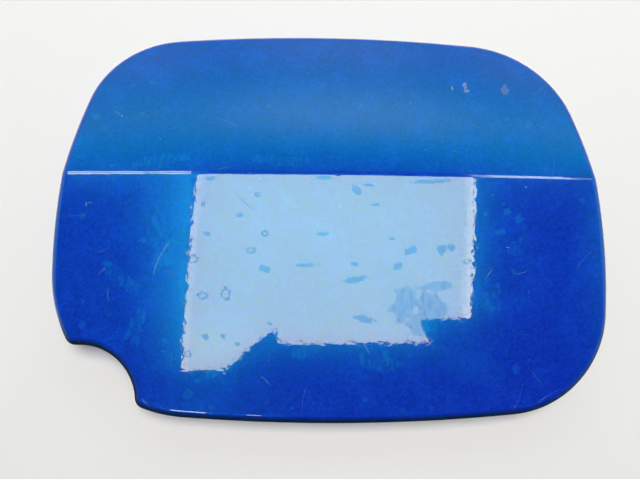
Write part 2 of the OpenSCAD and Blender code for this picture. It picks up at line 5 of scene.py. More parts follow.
import bpy
import numpy as np
from mathutils import Matrix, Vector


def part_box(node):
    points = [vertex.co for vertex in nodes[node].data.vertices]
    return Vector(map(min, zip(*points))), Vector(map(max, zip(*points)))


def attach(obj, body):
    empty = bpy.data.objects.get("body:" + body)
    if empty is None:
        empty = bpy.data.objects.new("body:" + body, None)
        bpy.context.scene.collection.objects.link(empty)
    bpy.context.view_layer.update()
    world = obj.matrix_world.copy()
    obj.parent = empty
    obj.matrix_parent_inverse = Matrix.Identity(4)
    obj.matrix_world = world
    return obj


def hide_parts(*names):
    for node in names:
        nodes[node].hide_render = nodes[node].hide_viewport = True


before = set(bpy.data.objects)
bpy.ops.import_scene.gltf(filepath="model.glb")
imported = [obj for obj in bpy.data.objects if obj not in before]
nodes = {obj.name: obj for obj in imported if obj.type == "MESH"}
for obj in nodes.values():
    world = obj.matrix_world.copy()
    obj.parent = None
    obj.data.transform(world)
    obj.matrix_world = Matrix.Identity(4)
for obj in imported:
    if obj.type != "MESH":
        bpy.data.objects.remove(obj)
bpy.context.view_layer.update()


# The outer skin is one sheet of 0.8 mm steel, pressed to a face with a crease along it, then rolled
# over at the rim and folded back as a narrow hem that grips the inner panel.
# A finger notch is cut out of its lower left corner.

# Sizes in mm. The outline is two side arcs, a long arc above and below, four corners, the notch and its
# two lips. The face falls from the crease to the edges above and below, and is crowned across.
MM = 0.001
SHEET = 0.8
HALF_W, HALF_H = 95.0, 70.0
SIDE_R, LONG_R = 235.0, 700.0
SIDE_Y = -16.0
CORNER_UL, CORNER_UR, CORNER_LR, CORNER_LL = 34.0, 39.0, 37.0, 48.0
NOTCH_R, UPPER_LIP, LOWER_LIP = 18.5, 3.5, 3.8
CREST = 20.9202
CREASE_Y = 12.5
CREASE_SOFT = 0.65
EDGE_FALL = 9.0
UPPER_R, LOWER_R, CROWN_R = 700.0, 1000.0, 1700.0
RIM_R, RIM_DEPTH = 3.0, 5.0
HEM_R, HEM_W = 1.2, 4.0


def centre_of_both(a, ra, b, rb, hint):
    """Point ra from a and rb from b, the one nearer the hint: where two arcs' fillet has its centre."""
    a, b, hint = (np.array(p, float) for p in (a, b, hint))
    gap = np.linalg.norm(b - a)
    along = (b - a) / gap
    s = (ra * ra - rb * rb + gap * gap) / (2 * gap)
    across = math.sqrt(ra * ra - s * s) * np.array([-along[1], along[0]])
    p, q = a + s * along + across, a + s * along - across
    return p if np.linalg.norm(p - hint) < np.linalg.norm(q - hint) else q


def skin_outline():
    """The door's outline in mm, anticlockwise from the crease's right end: points and outward normals.
    Each stretch is an arc c + r (cos a, sin a); points crowd together beside the two crease ends."""
    left, right = np.array([SIDE_R - HALF_W, SIDE_Y]), np.array([HALF_W - SIDE_R, SIDE_Y])
    top, bottom = np.array([5.0, HALF_H - LONG_R]), np.array([9.0, LONG_R - HALF_H])
    notch = np.array([-85.0, -62.5])
    half_turn = math.pi
    spacing = 1.15
    ul = centre_of_both(left, SIDE_R - CORNER_UL, top, LONG_R - CORNER_UL, (-60, 40))
    ur = centre_of_both(right, SIDE_R - CORNER_UR, top, LONG_R - CORNER_UR, (60, 40))
    lr = centre_of_both(right, SIDE_R - CORNER_LR, bottom, LONG_R - CORNER_LR, (60, -40))
    ll = centre_of_both(left, SIDE_R - CORNER_LL, bottom, LONG_R - CORNER_LL, (-50, -30))
    ut = centre_of_both(ll, CORNER_LL - UPPER_LIP, notch, NOTCH_R + UPPER_LIP, (-90, -40))
    lt = centre_of_both(ll, CORNER_LL - LOWER_LIP, notch, NOTCH_R + LOWER_LIP, (-60, -65))

    def way(a, b):
        return math.atan2(b[1] - a[1], b[0] - a[0])

    crease = math.asin((CREASE_Y - SIDE_Y) / (SIDE_R - RIM_R))
    arcs = [
        (right, SIDE_R, crease, way(right, ur), 1, "start"),
        (ur, CORNER_UR, way(right, ur), way(top, ur), 1, ""),
        (top, LONG_R, way(top, ur), way(top, ul), 1, ""),
        (ul, CORNER_UL, way(top, ul), way(left, ul), 1, ""),
        (left, SIDE_R, way(left, ul), half_turn - crease, 1, "end"),
        (left, SIDE_R, half_turn - crease, way(left, ll), 1, "start"),
        (ll, CORNER_LL, way(left, ll), way(ll, ut), 1, ""),
        (ut, UPPER_LIP, way(ll, ut), way(notch, ut) + half_turn, 1, ""),
        (notch, NOTCH_R, way(notch, ut), way(notch, lt), -1, ""),
        (lt, LOWER_LIP, way(notch, lt) + half_turn, way(ll, lt), 1, ""),
        (ll, CORNER_LL, way(ll, lt), way(bottom, ll), 1, ""),
        (bottom, LONG_R, way(bottom, ll), way(bottom, lr), 1, ""),
        (lr, CORNER_LR, way(bottom, lr), way(right, lr), 1, ""),
        (right, SIDE_R, way(right, lr), crease, 1, "end")]
    points, normals = [], []
    for c, r, a0, a1, side, crowd in arcs:
        turn = (a1 - a0 + 3 * half_turn) % (2 * half_turn) - half_turn
        length = abs(turn) * r
        n = max(6, round(length / spacing))
        t = np.arange(n) / n
        fine = np.array([0.12, 0.25, 0.4, 0.6, 0.85, 1.2]) / length
        if crowd == "start":
            t = np.concatenate([[0.0], fine, t[t > fine[-1] + 0.5 / length]])
        if crowd == "end":
            t = np.concatenate([t[t < 1 - fine[-1] - 0.5 / length], 1 - fine[::-1]])
        a = a0 + turn * t
        d = np.stack([np.cos(a), np.sin(a)], 1)
        points.append(c + r * d)
        normals.append(side * d)
    return np.concatenate(points), np.concatenate(normals)


def skin_height(x, y):
    """Height of the painted face in mm: crest, less x^2/(2 CROWN_R), less an arc over a sloping chord on
    each side of the crease (UPPER_R above, LOWER_R below, EDGE_FALL down at the edge), less the rounding
    of the crease within CREASE_SOFT of it."""
    up, down = HALF_H - CREASE_Y, HALF_H + CREASE_Y
    t = y - CREASE_Y
    below = EDGE_FALL * -t / down + t * (down + t) / (2 * LOWER_R)
    above = EDGE_FALL * t / up - t * (up - t) / (2 * UPPER_R)
    slope_below = EDGE_FALL / down - down / (2 * LOWER_R)
    slope_above = EDGE_FALL / up - up / (2 * UPPER_R)
    to_go = np.maximum(CREASE_SOFT - abs(t), 0)
    rounding = (slope_below + slope_above) / 2 * to_go ** 2 / (2 * CREASE_SOFT)
    return CREST - x * x / (2 * CROWN_R) - np.where(t < 0, below, above) - rounding


def skin_rings():
    """Rings of points from the middle of the crease over the face, round the rim (RIM_R), down and round
    the hem's fold (HEM_R), in along the hem and back over the inside of the sheet."""
    outline, out = skin_outline()
    hub = np.array([0.0, CREASE_Y])
    edge = outline - RIM_R * out
    edge_z = skin_height(edge[:, 0], edge[:, 1])

    def face(part, below):
        q = hub + part * (edge - hub)
        return np.column_stack([q, skin_height(q[:, 0], q[:, 1]) - below])

    def rim(inset, below):
        return np.column_stack([outline - inset * out, edge_z - below])

    hem = edge + (hub - edge) * HEM_W / np.linalg.norm(hub - edge, axis=1)[:, None]
    parts = np.concatenate([np.linspace(0.012, 0.9, 74), np.linspace(0.912, 0.99, 10)])
    rings = [face(p, 0) for p in parts]
    for a in np.radians(np.linspace(0, 90, 13)):
        rings.append(rim(RIM_R * (1 - math.sin(a)), RIM_R * (1 - math.cos(a))))
    for a in np.radians(np.linspace(0, 90, 6)):
        rings.append(rim(HEM_R * (1 - math.cos(a)), RIM_DEPTH - HEM_R * (1 - math.sin(a))))
    rings.append(np.column_stack([hem, edge_z - RIM_DEPTH]))
    rings.append(np.column_stack([hem, edge_z - RIM_DEPTH + SHEET]))
    fold, roll = HEM_R - SHEET, RIM_R - SHEET
    for a in np.radians([90, 45, 0]):
        rings.append(rim(SHEET + fold * (1 - math.cos(a)), RIM_DEPTH - HEM_R + fold * math.sin(a)))
    for a in np.radians(np.linspace(90, 0, 6)):
        rings.append(rim(SHEET + roll * (1 - math.sin(a)), SHEET + roll * (1 - math.cos(a))))
    for p in np.linspace(0.95, 0.05, 12):
        rings.append(face(p, SHEET))
    return hub, rings


def skin_mesh():
    """Quads between the rings, with a fan of triangles at the middle of the outside and the inside. The
    attribute ring goes from 0 at the middle of the face to 1 at the middle of the inside."""
    hub, rings = skin_rings()
    n, k = len(rings[0]), len(rings)
    top = skin_height(hub[0], hub[1])
    co = np.concatenate([[[0, hub[1], top]]] + rings + [[[0, hub[1], top - SHEET]]]) * MM
    j = np.arange(n)
    nxt = (j + 1) % n
    fan = np.stack([np.zeros(n, int), 1 + j, 1 + nxt], 1)
    last = n * k + 1
    back = np.stack([np.full(n, last), last - n + nxt, last - n + j], 1)
    a = (1 + np.arange(k - 1)[:, None] * n + j).ravel()
    b = (1 + np.arange(k - 1)[:, None] * n + nxt).ravel()
    quads = np.stack([a, a + n, b + n, b], 1)
    mesh = bpy.data.meshes.new("skin")
    mesh.from_pydata(co.tolist(), [], fan.tolist() + quads.tolist() + back.tolist())
    mesh.polygons.foreach_set("use_smooth", np.ones(len(mesh.polygons), bool))
    where = np.concatenate([[0], np.repeat(np.arange(k), n), [k]]).astype(float)
    mesh.attributes.new("ring", "FLOAT", "POINT").data.foreach_set("value", where / k)
    return mesh


def add(tree, kind, *values, how=None, **named):
    """Adds a node, sets or links its inputs by position and by name, and gives its first output."""
    node = tree.nodes.new("ShaderNode" + kind)
    for key, value in (how or {}).items():
        setattr(node, key, value)
    for slot, value in list(enumerate(values)) + [(k.replace("_", " "), v) for k, v in named.items()]:
        if isinstance(value, bpy.types.NodeSocket):
            tree.links.new(value, node.inputs[slot])
        else:
            node.inputs[slot].default_value = value
    return node.outputs[0] if node.outputs else None


def maths(tree, operation, a, b=0.0):
    return add(tree, "Math", a, b, how={"operation": operation})


def vectors(tree, operation, a, b):
    return add(tree, "VectorMath", a, b, how={"operation": operation})


def ramp(tree, value, low, high, at_low=0.0, at_high=1.0):
    """Value from at_low to at_high, along an S curve, as the input goes from low to high."""
    smooth = {"interpolation_type": "SMOOTHSTEP"}
    return add(tree, "MapRange", value, low, high, at_low, at_high, how=smooth)


def blend_colours(tree, mask, a, b):
    """Colour a where the mask is 0 and b where it is 1."""
    node = tree.nodes.new("ShaderNodeMix")
    node.data_type = "RGBA"
    for slot, value in ((0, mask), (6, a), (7, b)):
        if isinstance(value, bpy.types.NodeSocket):
            tree.links.new(value, node.inputs[slot])
        else:
            node.inputs[slot].default_value = value if slot == 0 else (*value, 1)
    return node.outputs[2]


def shade_group(name, inputs, outputs):
    """An empty node group, with float or vector inputs and float outputs: its tree, inputs and exit."""
    tree = bpy.data.node_groups.new(name, "ShaderNodeTree")
    for label, start in inputs.items():
        kind = "NodeSocketVector" if isinstance(start, tuple) else "NodeSocketFloat"
        tree.interface.new_socket(label, in_out="INPUT", socket_type=kind).default_value = start
    for label in outputs:
        tree.interface.new_socket(label, in_out="OUTPUT", socket_type="NodeSocketFloat")
    entry = tree.nodes.new("NodeGroupInput").outputs
    leave = tree.nodes.new("NodeGroupOutput").inputs
    return tree, entry, leave


def place_group(tree, group, **named):
    """Puts a group into a material with its own values; gives its outputs."""
    node = tree.nodes.new("ShaderNodeGroup")
    node.node_tree = group
    for slot, value in named.items():
        if isinstance(value, bpy.types.NodeSocket):
            tree.links.new(value, node.inputs[slot])
        else:
            node.inputs[slot].default_value = value
    return node.outputs


def object_place(tree, size, seed):
    """Object coordinates divided by a size in metres, moved by a seed so that no two patterns match."""
    at = tree.nodes.new("ShaderNodeTexCoord").outputs["Object"]
    times = maths(tree, "DIVIDE", 1.0, size)
    scaled = add(tree, "VectorMath", at, how={"operation": "SCALE"}, Scale=times)
    return vectors(tree, "ADD", scaled, add(tree, "CombineXYZ", seed, seed, seed))


# Mottling: soft patches of a given size in metres, between two levels of the noise
mottle, take, give = shade_group(
    "mottle", {"Size": 0.01, "Low": 0.4, "High": 0.7, "Seed": 0.0}, ["Mask"])
where = object_place(mottle, take["Size"], take["Seed"])
cloud = add(mottle, "TexNoise", Vector=where, Scale=1.0, Detail=3.0)
mottle.links.new(ramp(mottle, cloud, take["Low"], take["High"]), give["Mask"])

# Dried drops: a share of the cells of a pattern hold a round spot with a ring at its edge
drops, take, give = shade_group(
    "drops", {"Size": 0.01, "Radius": 0.2, "Share": 0.3, "Seed": 0.0}, ["Spot", "Ring"])
where = object_place(drops, take["Size"], take["Seed"])
wobble = add(drops, "TexNoise", Vector=where, Scale=4.0, Detail=2.0)
cell = add(drops, "TexVoronoi", Vector=where, Scale=1.0)
chance = add(drops, "SeparateColor", cell.node.outputs["Color"])
here = maths(drops, "LESS_THAN", chance, take["Share"])
reach = maths(drops, "MULTIPLY", take["Radius"], maths(drops, "ADD", 0.5, chance.node.outputs["Green"]))
away = maths(drops, "ADD", cell, maths(drops, "MULTIPLY", maths(drops, "SUBTRACT", wobble, 0.5), 0.40))
share = maths(drops, "DIVIDE", away, reach)
drops.links.new(maths(drops, "MULTIPLY", here, ramp(drops, share, 1.0, 0.75)), give["Spot"])
rim_line = ramp(drops, maths(drops, "ABSOLUTE", maths(drops, "SUBTRACT", share, 0.9)), 0.13, 0.02)
drops.links.new(maths(drops, "MULTIPLY", here, rim_line), give["Ring"])

# Hair scratches: a share of the cells of a pattern hold one fine line each, in any direction
scratches, take, give = shade_group(
    "scratches", {"Size": 0.02, "Length": 0.3, "Width": 0.01, "Share": 0.3, "Seed": 0.0}, ["Mask"])
where = object_place(scratches, take["Size"], take["Seed"])
cell = add(scratches, "TexVoronoi", Vector=where, Scale=1.0)
chance = add(scratches, "SeparateColor", cell.node.outputs["Color"])
off = vectors(scratches, "SUBTRACT", where, cell.node.outputs["Position"])
spin = maths(scratches, "MULTIPLY", chance, 2 * math.pi)
off = add(scratches, "VectorRotate", how={"rotation_type": "Z_AXIS"}, Vector=off, Angle=spin)
off = add(scratches, "SeparateXYZ", off)
along = maths(scratches, "ABSOLUTE", off)
bend = maths(scratches, "MULTIPLY", maths(scratches, "MULTIPLY", along, along), 0.4)
aside = maths(scratches, "ABSOLUTE", maths(scratches, "SUBTRACT", off.node.outputs["Y"], bend))
line = maths(scratches, "MULTIPLY", ramp(scratches, aside, take["Width"], 0.0),
             ramp(scratches, along, take["Length"], maths(scratches, "MULTIPLY", take["Length"], 0.6)))
here = maths(scratches, "LESS_THAN", chance.node.outputs["Green"], take["Share"])
scratches.links.new(maths(scratches, "MULTIPLY", line, here), give["Mask"])

# One mark at a place: an oval of a given half length and half width, its edge made uneven by a noise,
# as a full spot and as the ring round it
mark, take, give = shade_group(
    "mark", {"Place": (0.0, 0.0, 0.0), "Length": 0.001, "Width": 0.001, "Turn": 0.0, "Uneven": 0.5},
    ["Spot", "Ring"])
off = vectors(mark, "SUBTRACT", mark.nodes.new("ShaderNodeTexCoord").outputs["Object"], take["Place"])
off = add(mark, "VectorRotate", how={"rotation_type": "Z_AXIS"}, Vector=off, Angle=take["Turn"])
halves = add(mark, "CombineXYZ", take["Length"], take["Width"], take["Length"])
oval = vectors(mark, "DIVIDE", off, halves)
oval_reach = add(mark, "VectorMath", oval, how={"operation": "LENGTH"}).node.outputs["Value"]
spread = maths(mark, "ADD", oval_reach, maths(mark, "SUBTRACT", take["Uneven"], 0.5))
mark.links.new(ramp(mark, spread, 1.1, 0.75), give["Spot"])
near_edge = maths(mark, "ABSOLUTE", maths(mark, "SUBTRACT", spread, 0.9))
mark.links.new(ramp(mark, near_edge, 0.38, 0.12), give["Ring"])


def marks_at(tree, marks, uneven, height=None, output="Spot"):
    """The strongest of several marks, each given as x and y in mm, half length, half width and turn."""
    total = 0.0
    for x, y, length, width, turn in marks:
        z = skin_height(x, y) if height is None else height
        spot = place_group(tree, mark, Place=(x * MM, y * MM, float(z) * MM), Length=length * MM,
                           Width=width * MM, Turn=math.radians(-turn), Uneven=uneven)[output]
        total = maths(tree, "MAXIMUM", total, spot)
    return total


def strongest(tree, *masks):
    """The greatest of several masks at each point."""
    total = masks[0]
    for mask in masks[1:]:
        total = maths(tree, "MAXIMUM", total, mask)
    return total


def part_of(tree, mask, share):
    """A mask made weaker by a factor."""
    return maths(tree, "MULTIPLY", mask, share)


def bumpy(tree, shader, height, depth):
    """Links a pattern of heights, with a depth in metres, to the shader's normal, and gives it."""
    waves = add(tree, "Bump", Strength=1.0, Distance=depth, Height=height)
    tree.links.new(waves, shader.inputs["Normal"])
    return waves


def finish(name):
    """A new material, its node tree and its Principled shader."""
    material = bpy.data.materials.new(name)
    material.use_nodes = True
    return material, material.node_tree, material.node_tree.nodes["Principled BSDF"]


# Body paint: deep blue with fine flake under a clear coat that has orange peel, dried drops, a wiped
# smear, hair scratches, scuffs and a smudge near the top, and one chip down to rust at the notch.
# Painted shade darkens the foot of the rim along the lower edge and in the notch, its coat dulled there
# too.
# Of the 126 rings of the mesh, 85 to 90.5 lie on the upper half of the rim's roll, and 98 to 101 on the
# hem's fold.
body_paint, tree, shader = finish("body_paint")
flake = add(tree, "TexVoronoi", Vector=object_place(tree, 0.00026, 0.0), Scale=1.0).node.outputs["Color"]
flake = ramp(tree, add(tree, "SeparateColor", flake), 0.0, 1.0, 0.78, 1.22)
tone = place_group(tree, mottle, Size=0.0016, Low=0.3, High=0.7, Seed=2.0)["Mask"]
tone = ramp(tree, tone, 0.0, 1.0, 0.91, 1.09)
patchy = place_group(tree, mottle, Size=0.011, Low=0.42, High=0.72, Seed=5.0)["Mask"]
blue = blend_colours(tree, patchy, (0.0038, 0.028, 0.455), (0.0044, 0.039, 0.52))
tone = maths(tree, "MULTIPLY", flake, tone)
blue = add(tree, "VectorMath", blue, how={"operation": "SCALE"}, Scale=tone)
uneven = add(tree, "TexNoise", Vector=object_place(tree, 0.0011, 3.0), Scale=1.0, Detail=3.0)
uneven = ramp(tree, uneven, 0.25, 0.75, 0.1, 0.9)
wide_uneven = add(tree, "TexNoise", Vector=object_place(tree, 0.0045, 9.0), Scale=1.0, Detail=4.0)
wide_uneven = ramp(tree, wide_uneven, 0.25, 0.75, 0.1, 0.9)
dried = place_group(tree, drops, Size=0.0085, Radius=0.14, Share=0.30, Seed=1.0)
small_dried = place_group(tree, drops, Size=0.0038, Radius=0.12, Share=0.14, Seed=4.0)
wiped = marks_at(tree, [
    (-24.3, -19.8, 2.1, 1.4, -20), (-10.3, -18.4, 3.4, 0.9, 6), (-5.6, -8.1, 2.1, 0.8, 8),
    (-32.7, -2.0, 1.4, 1.0, -15), (-43.4, -8.3, 1.4, 0.8, -20), (-43.3, 10.4, 2.0, 0.8, 5),
    (-22.7, -37.5, 1.2, 0.7, -25), (-43.4, -41.7, 1.3, 1.0, -20), (-37.8, -41.5, 0.9, 0.9, 0),
    (-33.0, -43.9, 0.9, 0.7, 0), (24.5, -13.5, 2.4, 1.8, 20), (35.0, -13.2, 1.9, 1.9, 0),
    (38.2, -12.4, 2.0, 1.2, -10), (19.8, -18.8, 1.9, 1.4, 0), (5.7, -23.2, 4.2, 1.2, 8),
    (5.5, -18.2, 1.3, 0.9, 0), (8.7, -36.2, 3.9, 1.2, -10), (6.2, 6.9, 2.0, 1.2, -35),
    (10.5, 8.6, 2.0, 0.6, -5), (12.8, 1.9, 1.5, 0.6, 0), (17.7, -9.7, 1.3, 0.6, 5),
    (-4.8, 11.0, 3.1, 0.9, 0), (32.2, 10.2, 6.7, 0.8, 3)], uneven)
ringed = marks_at(tree, [
    (-27.0, 5.2, 0.9, 0.8, 0), (-45.0, 1.7, 0.7, 0.7, 0), (-48.0, -16.5, 1.6, 1.2, 15),
    (-44.5, -28.3, 1.4, 1.1, -10), (-37.2, -27.7, 1.5, 1.9, 30), (-24.5, -7.9, 1.1, 0.9, 0),
    (-29.1, -13.6, 1.5, 0.9, 10), (-49.0, -47.0, 1.2, 0.9, 10), (43.9, -17.0, 1.6, 0.6, 5),
    (-62.5, 12.8, 2.0, 1.1, 0)], uneven, output="Ring")
smear = marks_at(tree, [
    (22.2, -30.5, 5.4, 7.4, -25), (26.4, -38.0, 4.2, 5.6, -20), (33.6, -25.4, 4.6, 1.6, 5),
    (30.5, -33.0, 5.5, 6.5, 20)], wide_uneven)
smear_edge = marks_at(tree, [(22.2, -30.5, 6.4, 7.6, -25)], wide_uneven, output="Ring")
film = place_group(tree, mottle, Size=0.007, Low=0.55, High=0.72, Seed=8.0)["Mask"]
dried_marks = strongest(
    tree, part_of(tree, dried["Spot"], 0.22), part_of(tree, small_dried["Spot"], 0.3))
dragged = marks_at(tree, [
    (20.3, -12.9, 3.2, 0.16, 2), (21.4, -11.5, 2.6, 0.12, 0), (30.0, -11.4, 4.0, 0.14, 0),
    (31.0, -14.6, 2.4, 0.12, -3), (11.0, -5.2, 5.0, 0.14, 2), (15.6, -21.0, 3.4, 0.12, 0)], uneven)
drawn = strongest(
    tree, part_of(tree, ringed, 0.95), part_of(tree, smear_edge, 0.25), part_of(tree, dragged, 0.5),
    part_of(tree, dried["Ring"], 0.3), part_of(tree, small_dried["Ring"], 0.35))
wipes = marks_at(tree, [
    (-58.0, -15.0, 7.0, 3.0, 50), (-61.0, -6.0, 4.0, 6.0, 10), (-72.0, -22.0, 9.0, 2.2, -40),
    (-50.0, -24.0, 3.0, 8.0, 5), (-38.0, -51.0, 8.0, 2.5, 30), (-12.0, -47.0, 5.0, 2.0, 20),
    (14.0, -50.0, 7.0, 3.0, -10), (-60.0, 16.5, 9.0, 2.5, 10), (-20.0, 17.0, 12.0, 2.0, -5),
    (52.0, -30.0, 4.0, 5.0, 0), (62.0, -12.0, 5.0, 3.0, 40), (-66.0, -38.0, 6.0, 2.0, 60)], wide_uneven)
clouded = marks_at(tree, [(44.0, -50.0, 13.0, 7.0, -20), (-62.0, -2.0, 14.0, 8.0, 20)], wide_uneven)
splashed = marks_at(tree, [
    (58.6, 0.0, 1.3, 1.2, 0), (62.5, -2.5, 1.9, 1.6, 20), (50.8, -0.8, 0.9, 0.8, 0),
    (56.0, -6.9, 2.0, 1.0, 0), (-57.1, -16.4, 2.8, 2.0, -30), (-64.6, -10.2, 1.3, 1.1, 0),
    (-75.8, -18.0, 1.5, 1.1, 0)], uneven)
streaks = vectors(tree, "MULTIPLY", object_place(tree, 0.0012, 5.0), (1.0, 0.35, 1.0))
streaks = add(tree, "TexNoise", Vector=streaks, Scale=1.0, Detail=4.0)
streaks = ramp(tree, streaks, 0.42, 0.66, 0.25, 1.0)
cloudy = strongest(tree, part_of(tree, wipes, 0.34), part_of(tree, film, 0.12))
cloudy = maths(tree, "MULTIPLY", cloudy, streaks)
smeared = maths(tree, "MULTIPLY", smear, ramp(tree, streaks, 0.25, 1.0, 0.74, 1.0))
haze = strongest(tree, dried_marks, part_of(tree, wiped, 0.85), part_of(tree, smeared, 0.84), cloudy,
                 part_of(tree, splashed, 0.32), part_of(tree, clouded, 0.09))
blue = blend_colours(tree, haze, blue, (0.006, 0.165, 0.56))
blue = blend_colours(tree, drawn, blue, (0.014, 0.040, 0.42))
long_hairs = place_group(tree, scratches, Size=0.016, Length=0.42, Width=0.0055, Share=0.14, Seed=2.0)
hairs = place_group(tree, scratches, Size=0.007, Length=0.35, Width=0.010, Share=0.07, Seed=9.0)
scored = marks_at(tree, [
    (-88.2, -2.1, 3.2, 0.05, 2), (-84.6, -1.6, 1.1, 0.05, -35), (67.3, -56.0, 4.0, 0.06, -50)], uneven)
hairs = strongest(tree, long_hairs["Mask"], hairs["Mask"], scored)
scuffs = marks_at(tree, [
    (43.0, 47.7, 0.5, 0.9, 25), (48.0, 48.8, 0.8, 1.3, -5), (48.5, 46.6, 1.0, 0.8, 20)], uneven)
smudge = marks_at(tree, [(63.2, 47.6, 1.4, 2.2, -15)], uneven)
nicks = marks_at(tree, [
    (-74.8, 33.9, 0.15, 1.3, 10), (-83.7, 1.7, 0.12, 0.7, 10), (-82.4, 2.3, 1.1, 0.07, 12),
    (8.7, -44.6, 3.0, 0.12, -62), (-76.6, 35.2, 1.3, 0.10, -35), (65.7, 8.9, 0.28, 0.28, 0),
    (58.3, -12.2, 0.7, 0.12, -10), (80.8, -58.1, 0.3, 0.3, 0), (74.6, -62.3, 0.4, 0.2, 0)], uneven)
specks = place_group(tree, drops, Size=0.0042, Radius=0.03, Share=0.10, Seed=12.0)["Spot"]
crumbs = place_group(tree, drops, Size=0.0021, Radius=0.06, Share=0.25, Seed=15.0)["Spot"]
chip = marks_at(tree, [(-84.6, -43.2, 0.55, 0.4, -20)], uneven)
grazed = strongest(tree, part_of(tree, scuffs, 0.42), part_of(tree, smudge, 0.2))
worn = strongest(
    tree, part_of(tree, hairs, 0.15), part_of(tree, nicks, 0.45), part_of(tree, specks, 0.25))
blue = blend_colours(tree, worn, blue, (0.30, 0.42, 0.62))
blue = blend_colours(tree, grazed, blue, (0.40, 0.34, 0.46))
ring = tree.nodes.new("ShaderNodeAttribute")
ring.attribute_name = "ring"
at = add(tree, "SeparateXYZ", tree.nodes.new("ShaderNodeTexCoord").outputs["Object"])
rim_top, rim_half, fold_start, fold_end = (number / 126 for number in (85, 90.5, 98, 101))
# Painted shade: the rim's roll and foot turn near black along the lower edge and round the notch, with
# less coat
rim_painted_shade = maths(tree, "MULTIPLY", ramp(tree, ring.outputs["Fac"], rim_top, rim_half),
             ramp(tree, ring.outputs["Fac"], fold_end, fold_start))
rim_painted_shade = maths(tree, "MULTIPLY", rim_painted_shade, ramp(tree, at.node.outputs["Y"], -0.030, -0.043))
blue = blend_colours(tree, part_of(tree, rim_painted_shade, 0.94), blue, (0.0016, 0.002, 0.012))
blue = blend_colours(tree, chip, blue, (0.34, 0.09, 0.03))
tree.links.new(blue, shader.inputs["Base Color"])
pores = add(tree, "TexNoise", Vector=object_place(tree, 0.0004, 11.0), Scale=1.0, Detail=1.0)
dulled = strongest(
    tree, part_of(tree, haze, 0.62), part_of(tree, drawn, 0.62), part_of(tree, worn, 1.2), grazed,
    part_of(tree, crumbs, 0.6), part_of(tree, rim_painted_shade, 0.8), chip, ramp(tree, pores, 0.35, 0.75, 0.0, 0.16))
tree.links.new(ramp(tree, dulled, 0.0, 1.0, 1.0, 0.0), shader.inputs["Coat Weight"])
rough = ramp(tree, strongest(tree, part_of(tree, haze, 0.5), worn, rim_painted_shade), 0.0, 1.0, 0.19, 0.6)
tree.links.new(rough, shader.inputs["Roughness"])
peel = add(tree, "TexNoise", Vector=object_place(tree, 0.0022, 6.0), Scale=1.0, Detail=1.0)
fine_peel = add(tree, "TexNoise", Vector=object_place(tree, 0.0009, 7.0), Scale=1.0, Detail=1.0)
peel = maths(tree, "ADD", part_of(tree, peel, 0.8), part_of(tree, fine_peel, 0.2))
peel = maths(tree, "SUBTRACT", peel, part_of(tree, chip, 8.0))
peel = maths(tree, "SUBTRACT", peel, part_of(tree, hairs, 0.8))
waves = bumpy(tree, shader, peel, 0.000015)
tree.links.new(waves, shader.inputs["Coat Normal"])
shader.inputs["Metallic"].default_value = 0.0
shader.inputs["Specular IOR Level"].default_value = 0.5
shader.inputs["Specular Tint"].default_value = (0.0, 0.85, 0.72, 1)
shader.inputs["Coat Roughness"].default_value = 0.024

skin = bpy.data.objects.new("skin", skin_mesh())
bpy.context.scene.collection.objects.link(skin)
skin.data.materials.append(body_paint)
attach(skin, "door")
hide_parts("outer_skin")


# The inner panel is a second sheet of 0.8 mm steel, pressed with a flat pad, a bead and a flange that
# lies on the skin's hem. It is painted from the edges inwards, so the spray goes dry towards the middle
# and grey primer shows through. Road dust settles round the pad.


def dress(material, *names):
    """Gives CAD pieces their material in place of the plain one."""
    for name in names:
        nodes[name].data.materials.clear()
        nodes[name].data.materials.append(material)


# Fine bumps all over, such as dry spray, moulding grain or a zinc skin
grain, take, give = shade_group("grain", {"Size": 0.001, "Fine": 0.3, "Seed": 0.0}, ["Height"])
where = object_place(grain, take["Size"], take["Seed"])
swell = add(grain, "TexNoise", Vector=where, Scale=1.0, Detail=2.0)
tooth = add(grain, "TexNoise", Vector=where, Scale=4.3, Detail=1.0)
tooth = maths(grain, "MULTIPLY", tooth, take["Fine"])
grain.links.new(maths(grain, "ADD", swell, tooth), give["Height"])

# Dust and grime: clouds of specks, thicker where the clouds are thicker
dust, take, give = shade_group("dust", {"Size": 0.02, "Amount": 0.5, "Seed": 0.0}, ["Mask"])
where = object_place(dust, take["Size"], take["Seed"])
thick = add(dust, "TexNoise", Vector=where, Scale=1.0, Detail=4.0)
fine = object_place(dust, 0.0007, take["Seed"])
speck = add(dust, "TexNoise", Vector=fine, Scale=1.0, Detail=2.0)
thin_end = maths(dust, "SUBTRACT", 0.8, maths(dust, "MULTIPLY", take["Amount"], 0.4))
thick = ramp(dust, thick, thin_end, 0.9)
speck = ramp(dust, maths(dust, "ADD", speck, maths(dust, "MULTIPLY", thick, 0.5)), 0.5, 0.75)
dust.links.new(maths(dust, "MULTIPLY", speck, take["Amount"]), give["Mask"])


def centre(name):
    """Middle of a node's box, in mm."""
    low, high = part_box(name)
    return [(a + b) / 2 / MM for a, b in zip(low, high)]


def rounds_at(names, radius):
    """Round marks of a radius in mm, one at the middle of each named piece."""
    return [(*centre(name)[:2], radius, radius, 0) for name in names]


